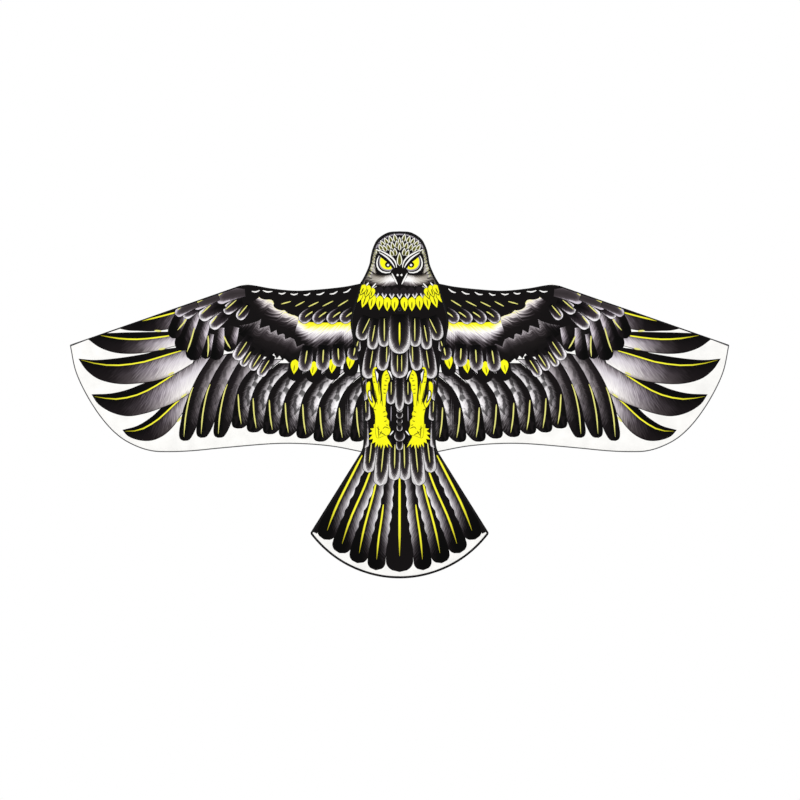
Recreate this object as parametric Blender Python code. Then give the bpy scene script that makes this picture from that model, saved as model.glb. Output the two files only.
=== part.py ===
"""Bird-shaped delta kite, 1.5 m across, standing upright as it flies: +Z towards the head, -Y towards the flyer.

The printed sail is the front. Its frame lies behind it, at +Y: a spine, a short centre tube across it, and on each
wing a spreader tube, a bent leading-edge spar in a sleeve and a batten. Each wing folds forward on a hinge fitting.
Left is -X and right is +X, as seen from the front. The origin is on the front of the sail, where the spine and the
centre tube cross. Lengths below are in millimetres, and MM turns them into Blender's metres.
"""

import math

import bmesh
import bpy
from mathutils import Matrix, Vector

MM = 0.001
SIDES = (("left", -1), ("right", 1))

# Driving dimensions
SPAN = 1500.0  # tip to tip
TIP = (SPAN / 2 - 1, -57.0)
SAIL = 0.8  # thickness of the solids that stand for cloth
GAP = 0.3  # clearance between pieces that touch
ROD_R = 2.0  # spine and leading-edge rods
SPREADER_R = 2.5
CENTRE_R = 3.0
TAIL_R = 1.5
BATTEN_R = 1.0
HINGE_X = 127.0  # each wing's fold line
HINGE_CLEAR = 12.0  # cloth left out of the solids on the wing side of the fold line
GUSSET_EDGE = 113.5  # where the body's side gusset stops, short of the fold line
DEPTH_ROD = 4.8  # y of the spine, the leading-edge rods and the tail struts
DEPTH_CROSS = 12.0  # y of the centre tube, the spreaders and the hinge pins
DEPTH_BATTEN = 2.8
BACK = 17.2  # y of the flat backs of the moulded fittings
SPAR_INSET = 6.0  # from the sail's leading edge to the middle of its rod
FACETS = 12  # sides of each round piece

# Outlines of the right half, (x, z)
LEADING_EDGE = [(90, 82), (126, 75), (181, 69), (236, 66), (290, 71), (327, 77.5), (345, 79.5), (363, 77.5)]
TRAILING_EDGE = [
    (736, -118), (708, -177), (672, -230), (636, -266), (599, -287), (563, -298),
    (526, -300), (472, -298), (399, -291), (290, -282), (217, -282), (150, -288), (87, -300),
]  # fmt: skip
BODY_SIDE = [(90, 82), (101, 41), (111, 0), (106, -41), (92, -101), (86, -161), (82, -223), (82, -280), (87, -300)]
HEAD = [(0, 201), (26, 198.5), (49, 184), (60, 164), (65, 145), (68, 127), (75, 109), (83, 93)]
TAIL_CORNER = (203, -485)
TAIL_ARC_R = 253.0
TAIL_ARC_Z = -334.0

# Spine and spars
SPINE_TOP = 186.0
SPINE_JOIN = -196.0
SPINE_BOTTOM = -573.0
SHOULDER_X = 147.0
FERRULE_X = 452.0
SPREADER_END_X = 563.0
TIP_ROD_X = 728.0
FITTING_X = 571.0
TAIL_FITTING_Z = -262.0
TAIL_STRUT_END = (182.0, -472.0)
BATTEN_ENDS = ((432.0, -28.0), (552.0, -278.0))
EYELET_Z = (24.0, -236.0)
KEEPER_Z = {"upper": 118.0, "middle": -120.0, "lower": -420.0}

# Small pieces
BINDING = 6.5
POCKET_WIDTH, POCKET_DEPTH, POCKET_HEM = 11.6, 7.6, 9.0
CAP_R, CAP_WALL, CAP_DEEP, CAP_END = 2.9, 0.6, 10.0, 2.0
FERRULE_LENGTH, FERRULE_WALL = 60.0, 0.35
SLEEVE_BORE, SLEEVE_WALL = 2.9, 0.6
EYELET_BARREL, EYELET_HOLE, EYELET_FLANGE, EYELET_RIM = 2.6, 1.9, 4.6, 0.6
KEEPER_SIZE = (18.0, 12.0)
MOULD_WALL = 1.6  # round the bores of the moulded fittings
CROSS_HALF, CROSS_UPRIGHT, CROSS_ARM = 7.0, 13.0, 16.0  # half lengths of the cross fitting's block, upright and arm
FITTING_GRIP = 13.0  # half of what the spreader fitting grips of the leading-edge rod
SOCKET = 24.0  # depth of each tube's socket

# The hinge, from the middle of its pin
CLEVIS_FACE = 7.0  # to the face that stops the wing
EAR_R, EAR_INNER, EAR_OUTER = 5.2, 5.0, 8.0
PIN_R, PIN_HEAD_R, PIN_HEAD = 1.25, 2.2, 1.0
KNUCKLE_R, KNUCKLE_NECK, KNUCKLE_HALF = 5.0, 13.0, 4.0
HEEL = (6.2, 4.4)  # the corner that meets the clevis's face when the wing has folded back as far as it goes

BLACK = (0.012, 0.012, 0.013, 1.0)
CLOTH_WHITE = (0.86, 0.86, 0.84, 1.0)
ROD_GREY = (0.035, 0.036, 0.038, 1.0)
METAL = (0.62, 0.63, 0.65, 1.0)


def clear_scene():
    """Removes the startup scene's objects."""
    for obj in list(bpy.data.objects):
        bpy.data.objects.remove(obj)


def material(name, colour, roughness, metallic=0.0):
    """A Principled material, made once and shared by name."""
    found = bpy.data.materials.get(name)
    if found:
        return found
    made = bpy.data.materials.new(name)
    made.use_nodes = True
    shader = made.node_tree.nodes["Principled BSDF"]
    shader.inputs["Base Color"].default_value = colour
    shader.inputs["Roughness"].default_value = roughness
    shader.inputs["Metallic"].default_value = metallic
    return made


def cloth():
    return material("printed_cloth", CLOTH_WHITE, 0.75)


def black_tape():
    return material("black_tape", BLACK, 0.8)


def rod_finish():
    return material("fibreglass", ROD_GREY, 0.4)


def moulding():
    return material("black_moulding", BLACK, 0.5)


def vinyl():
    return material("vinyl", BLACK, 0.6)


def metal():
    return material("aluminium", METAL, 0.35, 1.0)


def plated():
    return material("black_plating", BLACK, 0.3, 1.0)


def add_object(name, data, finish):
    """Links an object that holds data, in the given finish."""
    data.materials.append(finish)
    obj = bpy.data.objects.new(name, data)
    bpy.context.scene.collection.objects.link(obj)
    return obj


def mesh_object(name, bm, finish, smooth=True):
    """Turns a bmesh in millimetres into an object in metres."""
    bmesh.ops.scale(bm, vec=(MM, MM, MM), verts=bm.verts)
    bmesh.ops.recalc_face_normals(bm, faces=bm.faces)
    mesh = bpy.data.meshes.new(name)
    bm.to_mesh(mesh)
    bm.free()
    if smooth:
        mesh.shade_smooth()
        mesh.set_sharp_from_angle(angle=math.radians(35))
    return add_object(name, mesh, finish)


def smooth_curve(knots, steps):
    """Points on a Catmull-Rom curve through the knots, with steps pieces between each two."""
    ends = [2 * Vector(knots[0]) - Vector(knots[1]), 2 * Vector(knots[-1]) - Vector(knots[-2])]
    line = [ends[0], *map(Vector, knots), ends[1]]
    points = []
    for a, b, c, d in zip(line, line[1:], line[2:], line[3:]):
        for i in range(steps):
            t = i / steps
            points.append(
                0.5 * (2 * b + (c - a) * t + (2 * a - 5 * b + 4 * c - d) * t * t + (3 * b - a - 3 * c + d) * t**3)
            )
    return [*points, line[-2]]


def spar_z(x):
    """Height of the leading-edge rod's middle at x: the sail's edge less the inset, square to the edge."""
    curve = smooth_curve([*LEADING_EDGE, TIP], 8)
    for a, b in zip(curve, curve[1:]):
        if a.x <= x <= b.x:
            slope = (b.y - a.y) / (b.x - a.x)
            return a.y + slope * (x - a.x) - SPAR_INSET * math.hypot(1, slope)
    raise ValueError(f"the leading edge has no point at x = {x}")


def spar_path(x0, x1, pieces):
    """Points along the right leading-edge rod from x0 to x1."""
    return [Vector((x, DEPTH_ROD, spar_z(x))) for x in (x0 + (x1 - x0) * i / pieces for i in range(pieces + 1))]


def mirrored(points, side):
    return [Vector((side * p[0], *p[1:])) for p in points]


# Solids


def plate(name, outline, y0, y1, finish):
    """A flat solid with this (x, z) outline, from y0 to y1."""
    bm = bmesh.new()
    face = bm.faces.new([bm.verts.new((p[0], y0, p[1])) for p in outline])
    grown = bmesh.ops.extrude_face_region(bm, geom=[face])["geom"]
    tops = [v for v in grown if isinstance(v, bmesh.types.BMVert)]
    bmesh.ops.translate(bm, vec=(0, y1 - y0, 0), verts=tops)
    return mesh_object(name, bm, finish, smooth=False)


def ring_plate(name, outer, inner, y0, y1, finish):
    """A flat band between two (x, z) outlines that have as many points as each other."""
    bm = bmesh.new()
    edges = []
    for outline in (outer, inner):
        verts = [bm.verts.new((p[0], y0, p[1])) for p in outline]
        edges += [bm.edges.new(pair) for pair in zip(verts, verts[1:] + verts[:1])]
    faces = bmesh.ops.bridge_loops(bm, edges=edges)["faces"]
    grown = bmesh.ops.extrude_face_region(bm, geom=faces)["geom"]
    tops = [v for v in grown if isinstance(v, bmesh.types.BMVert)]
    bmesh.ops.translate(bm, vec=(0, y1 - y0, 0), verts=tops)
    return mesh_object(name, bm, finish, smooth=False)


def keep_side(obj, x, side):
    """Cuts a plate at the upright plane x and keeps the part beyond it on that side."""
    bm = bmesh.new()
    bm.from_mesh(obj.data)
    geometry = bm.verts[:] + bm.edges[:] + bm.faces[:]
    cut = bmesh.ops.bisect_plane(
        bm, geom=geometry, plane_co=(x * MM, 0, 0), plane_no=(side, 0, 0), clear_inner=True, dist=1e-7
    )
    rim = [e for e in cut["geom_cut"] if isinstance(e, bmesh.types.BMEdge)]
    bmesh.ops.holes_fill(bm, edges=rim)
    bmesh.ops.recalc_face_normals(bm, faces=bm.faces)
    bm.to_mesh(obj.data)
    bm.free()


def rod(name, path, radius, finish):
    """A solid round rod along the path."""
    curve = bpy.data.curves.new(name, "CURVE")
    curve.dimensions = "3D"
    curve.bevel_depth = radius * MM
    curve.bevel_resolution = (FACETS - 4) // 4
    curve.use_fill_caps = True
    spline = curve.splines.new("POLY")
    spline.points.add(len(path) - 1)
    for point, place in zip(spline.points, path):
        point.co = (*(Vector(place) * MM), 1)
    return add_object(name, curve, finish)


def sleeve(name, path, bore, wall, finish):
    """A round sleeve along the path, open at both ends."""
    obj = rod(name, path, bore + wall / 2, finish)
    obj.data.use_fill_caps = False
    thicken = obj.modifiers.new("Wall", "SOLIDIFY")
    thicken.thickness = wall * MM
    thicken.offset = 0.0
    return obj


def turned(bm, profile, place, axis):
    """Turns a closed (radius, height) profile about axis through place, and adds it to bm."""
    aim = Vector(axis).to_track_quat("Z", "Y")
    turns = [2 * math.pi * (i + 0.5) / FACETS for i in range(FACETS)]
    rings = []
    for r, h in profile:
        spots = [(r * math.cos(t), r * math.sin(t), h) for t in turns] if r else [(0, 0, h)]
        rings.append([bm.verts.new(Vector(place) + aim @ Vector(spot)) for spot in spots])
    for low, high in zip(rings, rings[1:] + rings[:1]):
        if len(low) == len(high) == 1:
            continue
        for i in range(FACETS):
            j = (i + 1) % FACETS
            corners = [low[i % len(low)], low[j % len(low)], high[j % len(high)], high[i % len(high)]]
            bm.faces.new(dict.fromkeys(corners))


def turned_object(name, profile, place, axis, finish):
    bm = bmesh.new()
    turned(bm, profile, place, axis)
    return mesh_object(name, bm, finish)


def cylinder(name, start, axis, length, radius, finish):
    """A cylinder from start along axis. On the axis its end faces are fans."""
    profile = [(0, 0), (radius, 0), (radius, length), (0, length)]
    return turned_object(name, profile, start, axis, finish)


def box(name, low, high, finish, bevel=0.0):
    """A box between two corners, with rounded edges."""
    bm = bmesh.new()
    bmesh.ops.create_cube(bm, size=1.0)
    size = Vector(high) - Vector(low)
    bmesh.ops.scale(bm, vec=size, verts=bm.verts)
    bmesh.ops.translate(bm, vec=(Vector(low) + Vector(high)) / 2, verts=bm.verts)
    if bevel:
        bmesh.ops.bevel(
            bm, geom=bm.edges[:], offset=bevel, segments=2, profile=0.5, affect="EDGES", material=-1
        )
    return mesh_object(name, bm, finish)


def boolean(obj, operation, others):
    """Joins the others to obj or cuts them from it, and hides them."""
    for other in others:
        step = obj.modifiers.new(other.name, "BOOLEAN")
        step.operation = operation
        step.object = other
        other.hide_render = True
        other.display_type = "WIRE"
    return obj


# Soft parts


def wing_outline(side):
    """The right or left wing from the body's side to the tip, as one closed (x, z) outline."""
    edge = smooth_curve(LEADING_EDGE, 3)
    tip = smooth_curve([TIP, *TRAILING_EDGE], 3)
    seam = [Vector((p.x + GAP, p.y)) for p in smooth_curve(BODY_SIDE, 3)][::-1]
    return mirrored([*edge, *tip[:-1], *seam[:-1]], side)


def body_outline(inset=0.0):
    """The head, body and tail as one closed (x, z) outline, clockwise from the head's top."""
    half_angle = math.asin(TAIL_CORNER[0] / TAIL_ARC_R)
    arc = [half_angle * (1 - i / 9) for i in range(10)]
    tail = [Vector((TAIL_ARC_R * math.sin(a), TAIL_ARC_Z - TAIL_ARC_R * math.cos(a))) for a in arc]
    half = [*smooth_curve([*HEAD, BODY_SIDE[0]], 3)[:-1], *smooth_curve(BODY_SIDE, 3), *tail]
    loop = [*half, *(Vector((-p.x, p.y)) for p in half[-2:0:-1])]
    if not inset:
        return loop
    moved = []
    for a, b, c in zip(loop[-1:] + loop[:-1], loop, loop[1:] + loop[:1]):
        before, after = (b - a).normalized(), (c - b).normalized()
        normal = Vector((before.y + after.y, -before.x - after.x)).normalized()
        square = max(0.5, normal.dot(Vector((before.y, -before.x))))
        moved.append(b + normal * (inset / square))
    return moved


def build_gusset(name, side):
    """The strip of the wing's cloth that is sewn to the body, short of the fold line."""
    gusset = plate(f"{name}_hinge_gusset", wing_outline(side), 0, SAIL, cloth())
    keep_side(gusset, side * GUSSET_EDGE, -side)


def build_wing_sail(name, side):
    """The cloth of one wing, beyond the fold line."""
    wing = plate(f"{name}_wing_sail", wing_outline(side), 0, SAIL, cloth())
    keep_side(wing, side * (HINGE_X + HINGE_CLEAR), side)


def build_body_sail():
    """The printed panel of the head, body and tail, and the tape that binds its edge."""
    body = plate("body_sail", body_outline(GAP), 0, SAIL, cloth())
    holes = [
        cylinder(f"eyelet_hole_{i}", (0, -SAIL, z), (0, 1, 0), 3 * SAIL, EYELET_BARREL + GAP, cloth())
        for i, z in enumerate(EYELET_Z)
    ]
    boolean(body, "DIFFERENCE", holes)
    ring_plate("body_binding", body_outline(GAP), body_outline(BINDING), -SAIL - GAP, -GAP, black_tape())


def pocket(name, rod_end, aim):
    """A sewn pouch behind the sail that a rod's end sits in. Rod_end and aim are (x, z)."""
    finish = black_tape()
    length = 2 * POCKET_HEM
    mouth = (rod_end[0] - aim[0] * POCKET_HEM, rod_end[1] - aim[1] * POCKET_HEM)
    bm = bmesh.new()
    bmesh.ops.create_cube(bm, size=1.0)
    bmesh.ops.scale(bm, vec=(POCKET_WIDTH, POCKET_DEPTH, length), verts=bm.verts)
    bmesh.ops.translate(bm, vec=(0, 0, length / 2), verts=bm.verts)
    bmesh.ops.bevel(bm, geom=bm.edges[:], offset=1.6, segments=2, profile=0.5, affect="EDGES", material=-1)
    turn = Matrix(((aim[1], 0, -aim[0]), (0, 1, 0), (aim[0], 0, aim[1]))).transposed().to_4x4()
    place = Matrix.Translation((mouth[0], SAIL + GAP + POCKET_DEPTH / 2, mouth[1])) @ turn
    bmesh.ops.transform(bm, matrix=place, verts=bm.verts)
    obj = mesh_object(name, bm, finish)
    start = (mouth[0] - aim[0] * 4, DEPTH_ROD, mouth[1] - aim[1] * 4)
    deep = POCKET_HEM + 4 + CAP_END + 2 * GAP
    hole = cylinder(f"{name}_mouth", start, (aim[0], 0, aim[1]), deep, CAP_R + GAP, finish)
    return boolean(obj, "DIFFERENCE", [hole])


def end_cap(name, rod_end, aim, rod_radius):
    """A push-on cap over a rod's end. Aim is the (x, z) direction that the rod points in."""
    bore = rod_radius + GAP
    outer = bore + CAP_WALL
    profile = [(0, GAP), (bore, GAP), (bore, -CAP_DEEP), (outer, -CAP_DEEP), (outer, CAP_END / 2), (0, CAP_END)]
    place = (rod_end[0], DEPTH_ROD, rod_end[1])
    return turned_object(name, profile, place, (aim[0], 0, aim[1]), vinyl())


def ferrule(name, middle, aim):
    """The metal tube that joins two rods end to end."""
    inner, length = ROD_R + GAP, FERRULE_LENGTH
    outer = inner + FERRULE_WALL
    profile = [(inner, 0), (outer, 0), (outer, length), (inner, length)]
    start = Vector((middle[0], DEPTH_ROD, middle[1])) - Vector((aim[0], 0, aim[1])) * length / 2
    return turned_object(name, profile, start, (aim[0], 0, aim[1]), metal())


def keeper(name, z):
    """A loop of tape that holds the spine against the sail."""
    half, length = KEEPER_SIZE[0] / 2, KEEPER_SIZE[1]
    low, high = (-half, SAIL + GAP, z - length / 2), (half, SAIL + GAP + 1, z + length / 2)
    block = box(name, low, high, black_tape())
    hoop = cylinder(f"{name}_hoop", (0, DEPTH_ROD, low[2]), (0, 0, 1), length, ROD_R + GAP + 1, black_tape())
    bore = cylinder(f"{name}_bore", (0, DEPTH_ROD, low[2] - 2), (0, 0, 1), length + 4, ROD_R + GAP, black_tape())
    boolean(block, "UNION", [hoop])
    return boolean(block, "DIFFERENCE", [bore])


# The frame that stays with the body


def build_spine():
    """Two rods joined by a ferrule, capped at the head and nocked at the tail, with their pockets and keepers."""
    middle = SPINE_JOIN
    rod("spine_upper_rod", [(0, DEPTH_ROD, SPINE_TOP), (0, DEPTH_ROD, middle + GAP / 2)], ROD_R, rod_finish())
    rod("spine_lower_rod", [(0, DEPTH_ROD, middle - GAP / 2), (0, DEPTH_ROD, SPINE_BOTTOM)], ROD_R, rod_finish())
    ferrule("spine_ferrule", (0, middle), (0, 1))
    end_cap("spine_top_cap", (0, SPINE_TOP), (0, 1), ROD_R)
    end_cap("spine_bottom_cap", (0, SPINE_BOTTOM), (0, -1), ROD_R)
    pocket("head_pocket", (0, SPINE_TOP), (0, 1))
    pocket("tail_pocket", (0, SPINE_BOTTOM), (0, -1))
    for name, z in KEEPER_Z.items():
        keeper(f"spine_keeper_{name}", z)


def build_centre():
    """The moulded cross fitting and the tube that it holds across the spine."""
    half, upright, arm = CROSS_HALF, CROSS_UPRIGHT, CROSS_ARM
    low, high = (-half, DEPTH_ROD - ROD_R, -half), (half, BACK, half)
    fitting = box("cross_fitting", low, high, moulding(), bevel=1.0)
    spine, tube = ROD_R + MOULD_WALL, CENTRE_R + MOULD_WALL
    boolean(fitting, "UNION", [
        cylinder("cross_fitting_upright", (0, DEPTH_ROD, -upright), (0, 0, 1), 2 * upright, spine, moulding()),
        cylinder("cross_fitting_arm", (-arm, DEPTH_CROSS, 0), (1, 0, 0), 2 * arm, tube, moulding()),
    ])  # fmt: skip
    spine, tube = ROD_R + GAP, CENTRE_R + GAP
    boolean(fitting, "DIFFERENCE", [
        cylinder("cross_spine_bore", (0, DEPTH_ROD, -2 * upright), (0, 0, 1), 4 * upright, spine, moulding()),
        cylinder("cross_tube_bore", (-2 * arm, DEPTH_CROSS, 0), (1, 0, 0), 4 * arm, tube, moulding()),
    ])  # fmt: skip
    reach = HINGE_X - CLEVIS_FACE - 4
    profile = [(CENTRE_R - 1, 0), (CENTRE_R, 0), (CENTRE_R, 2 * reach), (CENTRE_R - 1, 2 * reach)]
    turned_object("centre_tube", profile, (-reach, DEPTH_CROSS, 0), (1, 0, 0), metal())


def hinge_outline(side, points):
    """Points about the hinge pin, (outwards, backwards), as (x, y) of that side's hinge."""
    return [(side * (HINGE_X + u), DEPTH_CROSS + v) for u, v in points]


def upright_prism(name, outline, z0, z1, finish):
    """A solid with this (x, y) outline, from z0 to z1."""
    bm = bmesh.new()
    face = bm.faces.new([bm.verts.new((*p, z0)) for p in outline])
    grown = bmesh.ops.extrude_face_region(bm, geom=[face])["geom"]
    tops = [v for v in grown if isinstance(v, bmesh.types.BMVert)]
    bmesh.ops.translate(bm, vec=(0, 0, z1 - z0), verts=tops)
    return mesh_object(name, bm, finish)


def arc_points(radius, start, end, steps):
    """Points on an arc about the pin, with angles in degrees from outwards, turning backwards."""
    angles = [math.radians(start + (end - start) * i / steps) for i in range(steps + 1)]
    return [(radius * math.cos(a), radius * math.sin(a)) for a in angles]


def pin_hole(name, side):
    return cylinder(name, (side * HINGE_X, DEPTH_CROSS, -12), (0, 0, 1), 24, PIN_R + GAP, moulding())


def build_fork(name, side):
    """The forked end of the centre tube, and the pin through it."""
    back = -CLEVIS_FACE - SOCKET * 0.7
    fork = [(back, -EAR_R), *arc_points(EAR_R, -90, 90, 8), (back, EAR_R)]
    clevis = upright_prism(f"{name}_hinge_clevis", hinge_outline(side, fork), -EAR_OUTER, EAR_OUTER, moulding())
    wide = 2 * EAR_R
    slot = [(-CLEVIS_FACE, -wide), (wide, -wide), (wide, wide), (-CLEVIS_FACE, wide)]
    floor = side * (HINGE_X - CLEVIS_FACE - 3.5)
    boolean(clevis, "DIFFERENCE", [
        upright_prism(f"{name}_clevis_slot", hinge_outline(side, slot), -EAR_INNER, EAR_INNER, moulding()),
        cylinder(f"{name}_clevis_socket", (floor, DEPTH_CROSS, 0), (-side, 0, 0), SOCKET, CENTRE_R + GAP, moulding()),
        pin_hole(f"{name}_clevis_pin_hole", side),
    ])  # fmt: skip
    shank, end = EAR_OUTER + GAP, EAR_OUTER + GAP + PIN_HEAD
    half = [(PIN_R, shank), (PIN_HEAD_R, shank), (PIN_HEAD_R, end), (0, end)]
    profile = [(r, -h) for r, h in half[::-1]] + half
    turned_object(f"{name}_hinge_pin", profile, (side * HINGE_X, DEPTH_CROSS, 0), (0, 0, 1), metal())


def build_knuckle(name, side):
    """The wing's half of the hinge, with the socket that the spreader sits in."""
    heel_back = math.degrees(math.asin(HEEL[1] / KNUCKLE_R))
    knuckle = [
        (-HEEL[0], 0), (-HEEL[0], HEEL[1]), *arc_points(KNUCKLE_R, heel_back, 40, 2),
        (KNUCKLE_NECK, KNUCKLE_HALF), (KNUCKLE_NECK, -KNUCKLE_HALF), *arc_points(KNUCKLE_R, -50, -180, 8),
    ]  # fmt: skip
    half = EAR_INNER - GAP
    moving = upright_prism(f"{name}_hinge_knuckle", hinge_outline(side, knuckle), -half, half, moulding())
    mouth = HINGE_X + KNUCKLE_NECK
    wall = SPREADER_R + MOULD_WALL + GAP
    foot, floor = (side * (mouth - 3), DEPTH_CROSS, 0), (side * mouth, DEPTH_CROSS, 0)
    arm = cylinder(f"{name}_knuckle_socket", foot, (side, 0, 0), SOCKET, wall, moulding())
    boolean(moving, "UNION", [arm])
    boolean(moving, "DIFFERENCE", [
        cylinder(f"{name}_knuckle_bore", floor, (side, 0, 0), SOCKET, SPREADER_R + GAP, moulding()),
        pin_hole(f"{name}_knuckle_pin_hole", side),
    ])  # fmt: skip


def build_tail():
    """The fitting low on the spine and the struts that push the tail's corners out."""
    root = Vector((0, DEPTH_ROD, TAIL_FITTING_Z))
    foot = root + Vector((0, 0, -26))
    wall, clear = ROD_R + MOULD_WALL, ROD_R + GAP
    fitting = cylinder("tail_fitting", foot, (0, 0, 1), 40, wall, moulding())
    cutters = [cylinder("tail_fitting_bore", foot - Vector((0, 0, 5)), (0, 0, 1), 50, clear, moulding())]
    for name, side in SIDES:
        end = Vector((side * TAIL_STRUT_END[0], DEPTH_ROD, TAIL_STRUT_END[1]))
        aim = (end - root).normalized()
        start = root + aim * 9
        arm = cylinder(f"{name}_tail_socket", root + aim * 4.6, aim, SOCKET, TAIL_R + MOULD_WALL, moulding())
        boolean(fitting, "UNION", [arm])
        bore = start - aim * GAP
        cutters.append(cylinder(f"{name}_tail_socket_bore", bore, aim, 1.2 * SOCKET, TAIL_R + GAP, moulding()))
        rod(f"{name}_tail_strut", [start, end], TAIL_R, rod_finish())
        end_cap(f"{name}_tail_cap", (end.x, end.z), (aim.x, aim.z), TAIL_R)
        pocket(f"{name}_tail_corner_pocket", (end.x, end.z), (aim.x, aim.z))
    boolean(fitting, "DIFFERENCE", cutters)


def build_eyelets():
    """The two metal eyelets that a bridle's legs pass through to the spine."""
    front, back = -GAP, SAIL + GAP
    low, high = front - EYELET_RIM, back + EYELET_RIM
    profile = [
        (EYELET_HOLE, low), (EYELET_FLANGE, low), (EYELET_FLANGE, front), (EYELET_BARREL, front),
        (EYELET_BARREL, back), (EYELET_FLANGE, back), (EYELET_FLANGE, high), (EYELET_HOLE, high),
    ]  # fmt: skip
    for name, z in zip(("upper", "lower"), EYELET_Z):
        turned_object(f"{name}_bridle_eyelet", profile, (0, 0, z), (0, 1, 0), plated())


# The frame that moves with each wing


def build_wing_frame(name, side):
    """The leading-edge spar in its sleeves, the spreader and the batten of one wing."""
    slope = (TIP[1] - LEADING_EDGE[-1][1]) / (TIP[0] - LEADING_EDGE[-1][0])
    along = Vector((side, slope)).normalized()
    rod(
        f"{name}_leading_edge_rod_inner",
        mirrored(spar_path(SHOULDER_X, FERRULE_X - GAP / 2, 16), side), ROD_R, rod_finish(),
    )  # fmt: skip
    rod(
        f"{name}_leading_edge_rod_outer",
        mirrored(spar_path(FERRULE_X + GAP / 2, TIP_ROD_X, 1), side), ROD_R, rod_finish(),
    )  # fmt: skip
    ferrule(f"{name}_leading_edge_ferrule", (side * FERRULE_X, spar_z(FERRULE_X)), along)
    first = spar_path(SHOULDER_X, SHOULDER_X + 10, 1)
    inwards = mirrored([first[0] - first[1]], side)[0].normalized()
    end_cap(f"{name}_shoulder_cap", (side * first[0].x, first[0].z), (inwards.x, inwards.z), ROD_R)
    end_cap(f"{name}_tip_cap", (side * TIP_ROD_X, spar_z(TIP_ROD_X)), along, ROD_R)
    pocket(f"{name}_tip_pocket", (side * TIP_ROD_X, spar_z(TIP_ROD_X)), along)
    cut_in, cut_out = FITTING_X - 21, FITTING_X + 17  # the sleeve stops on each side of the spreader's fitting
    sleeve(
        f"{name}_leading_edge_sleeve_inner",
        mirrored(spar_path(SHOULDER_X + 12, cut_in, 18), side), SLEEVE_BORE, SLEEVE_WALL, black_tape(),
    )  # fmt: skip
    sleeve(
        f"{name}_leading_edge_sleeve_outer",
        mirrored(spar_path(cut_out, TIP_ROD_X - 13, 1), side), SLEEVE_BORE, SLEEVE_WALL, black_tape(),
    )  # fmt: skip
    build_spreader(name, side, along)
    ends = [(side * x, DEPTH_BATTEN, z) for x, z in BATTEN_ENDS]
    rod(f"{name}_batten", ends, BATTEN_R, rod_finish())
    fall = (Vector(ends[1]) - Vector(ends[0])).normalized() * 8
    cover = [Vector(ends[0]) + fall, Vector(ends[1]) - fall]
    sleeve(f"{name}_batten_sleeve", cover, BATTEN_R + GAP, 0.4, black_tape())


def build_spreader(name, side, along):
    """The tube from the hinge to the moulded fitting on the leading-edge rod, and the ring that keeps it in place."""
    start = HINGE_X + KNUCKLE_NECK + GAP
    length = SPREADER_END_X - start
    profile = [(SPREADER_R - 0.9, 0), (SPREADER_R, 0), (SPREADER_R, length), (SPREADER_R - 0.9, length)]
    turned_object(f"{name}_spreader_tube", profile, (side * start, DEPTH_CROSS, 0), (side, 0, 0), rod_finish())
    at = Vector((side * FITTING_X, DEPTH_ROD, spar_z(FITTING_X)))
    aim = Vector((along.x, 0, along.y))
    web_x = sorted((side * (FITTING_X - 7), side * (FITTING_X + 3)))
    low, high = (web_x[0], DEPTH_ROD - 1, -3.2), (web_x[1], BACK, 3.2)
    fitting = box(f"{name}_spreader_fitting", low, high, moulding(), bevel=0.8)
    mouth = (side * (SPREADER_END_X - SOCKET), DEPTH_CROSS, 0)
    grip, arm_length = 2 * FITTING_GRIP, SOCKET + 5
    boolean(fitting, "UNION", [
        cylinder(f"{name}_fitting_collar", at - aim * FITTING_GRIP, aim, grip, ROD_R + MOULD_WALL, moulding()),
        cylinder(f"{name}_fitting_arm", mouth, (side, 0, 0), arm_length, SPREADER_R + MOULD_WALL, moulding()),
    ])  # fmt: skip
    outside = (side * (SPREADER_END_X - SOCKET - 6), DEPTH_CROSS, 0)
    boolean(fitting, "DIFFERENCE", [
        cylinder(f"{name}_fitting_spar_bore", at - aim * 20, aim, 40, ROD_R + GAP, moulding()),
        cylinder(f"{name}_fitting_socket", outside, (side, 0, 0), SOCKET + 6 + GAP, SPREADER_R + GAP, moulding()),
    ])  # fmt: skip
    ring = [(ROD_R + GAP, 0), (ROD_R + 1.5, 0), (ROD_R + 1.5, 3), (ROD_R + GAP, 3)]
    turned_object(f"{name}_spar_stopper", ring, at - aim * (FITTING_GRIP + 4), aim, vinyl())


def hang_on_fold_line(name, side, pieces):
    """Parents a wing's pieces to an empty on its hinge, so that turning the empty about Z folds the wing."""
    axis = bpy.data.objects.new(f"{name}_wing_fold_axis", None)
    axis.location = (side * HINGE_X * MM, DEPTH_CROSS * MM, 0)
    bpy.context.scene.collection.objects.link(axis)
    for piece in pieces:
        piece.parent = axis
        piece.matrix_parent_inverse = Matrix.Translation(-axis.location)


def main():
    clear_scene()
    build_body_sail()
    build_spine()
    build_centre()
    build_tail()
    build_eyelets()
    for name, side in SIDES:
        build_gusset(name, side)
        build_fork(name, side)
        before = set(bpy.data.objects)
        build_wing_sail(name, side)
        build_knuckle(name, side)
        build_wing_frame(name, side)
        hang_on_fold_line(name, side, set(bpy.data.objects) - before)


main()
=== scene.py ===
"""An eagle-shaped delta kite: printed sail, sewn hems and pockets, and the finishes of its frame.

The print is part of the cloth: each printed shape is a field of the sail's own faces.
Printed shapes are laid out in millimetres, as (across, up), and the finished pieces are in metres.
"""

import logging
import math
from collections.abc import Sequence
from dataclasses import dataclass
from enum import Enum

import bmesh
import bpy
import numpy as np
from mathutils import Matrix, Vector
from mathutils.geometry import delaunay_2d_cdt


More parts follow.
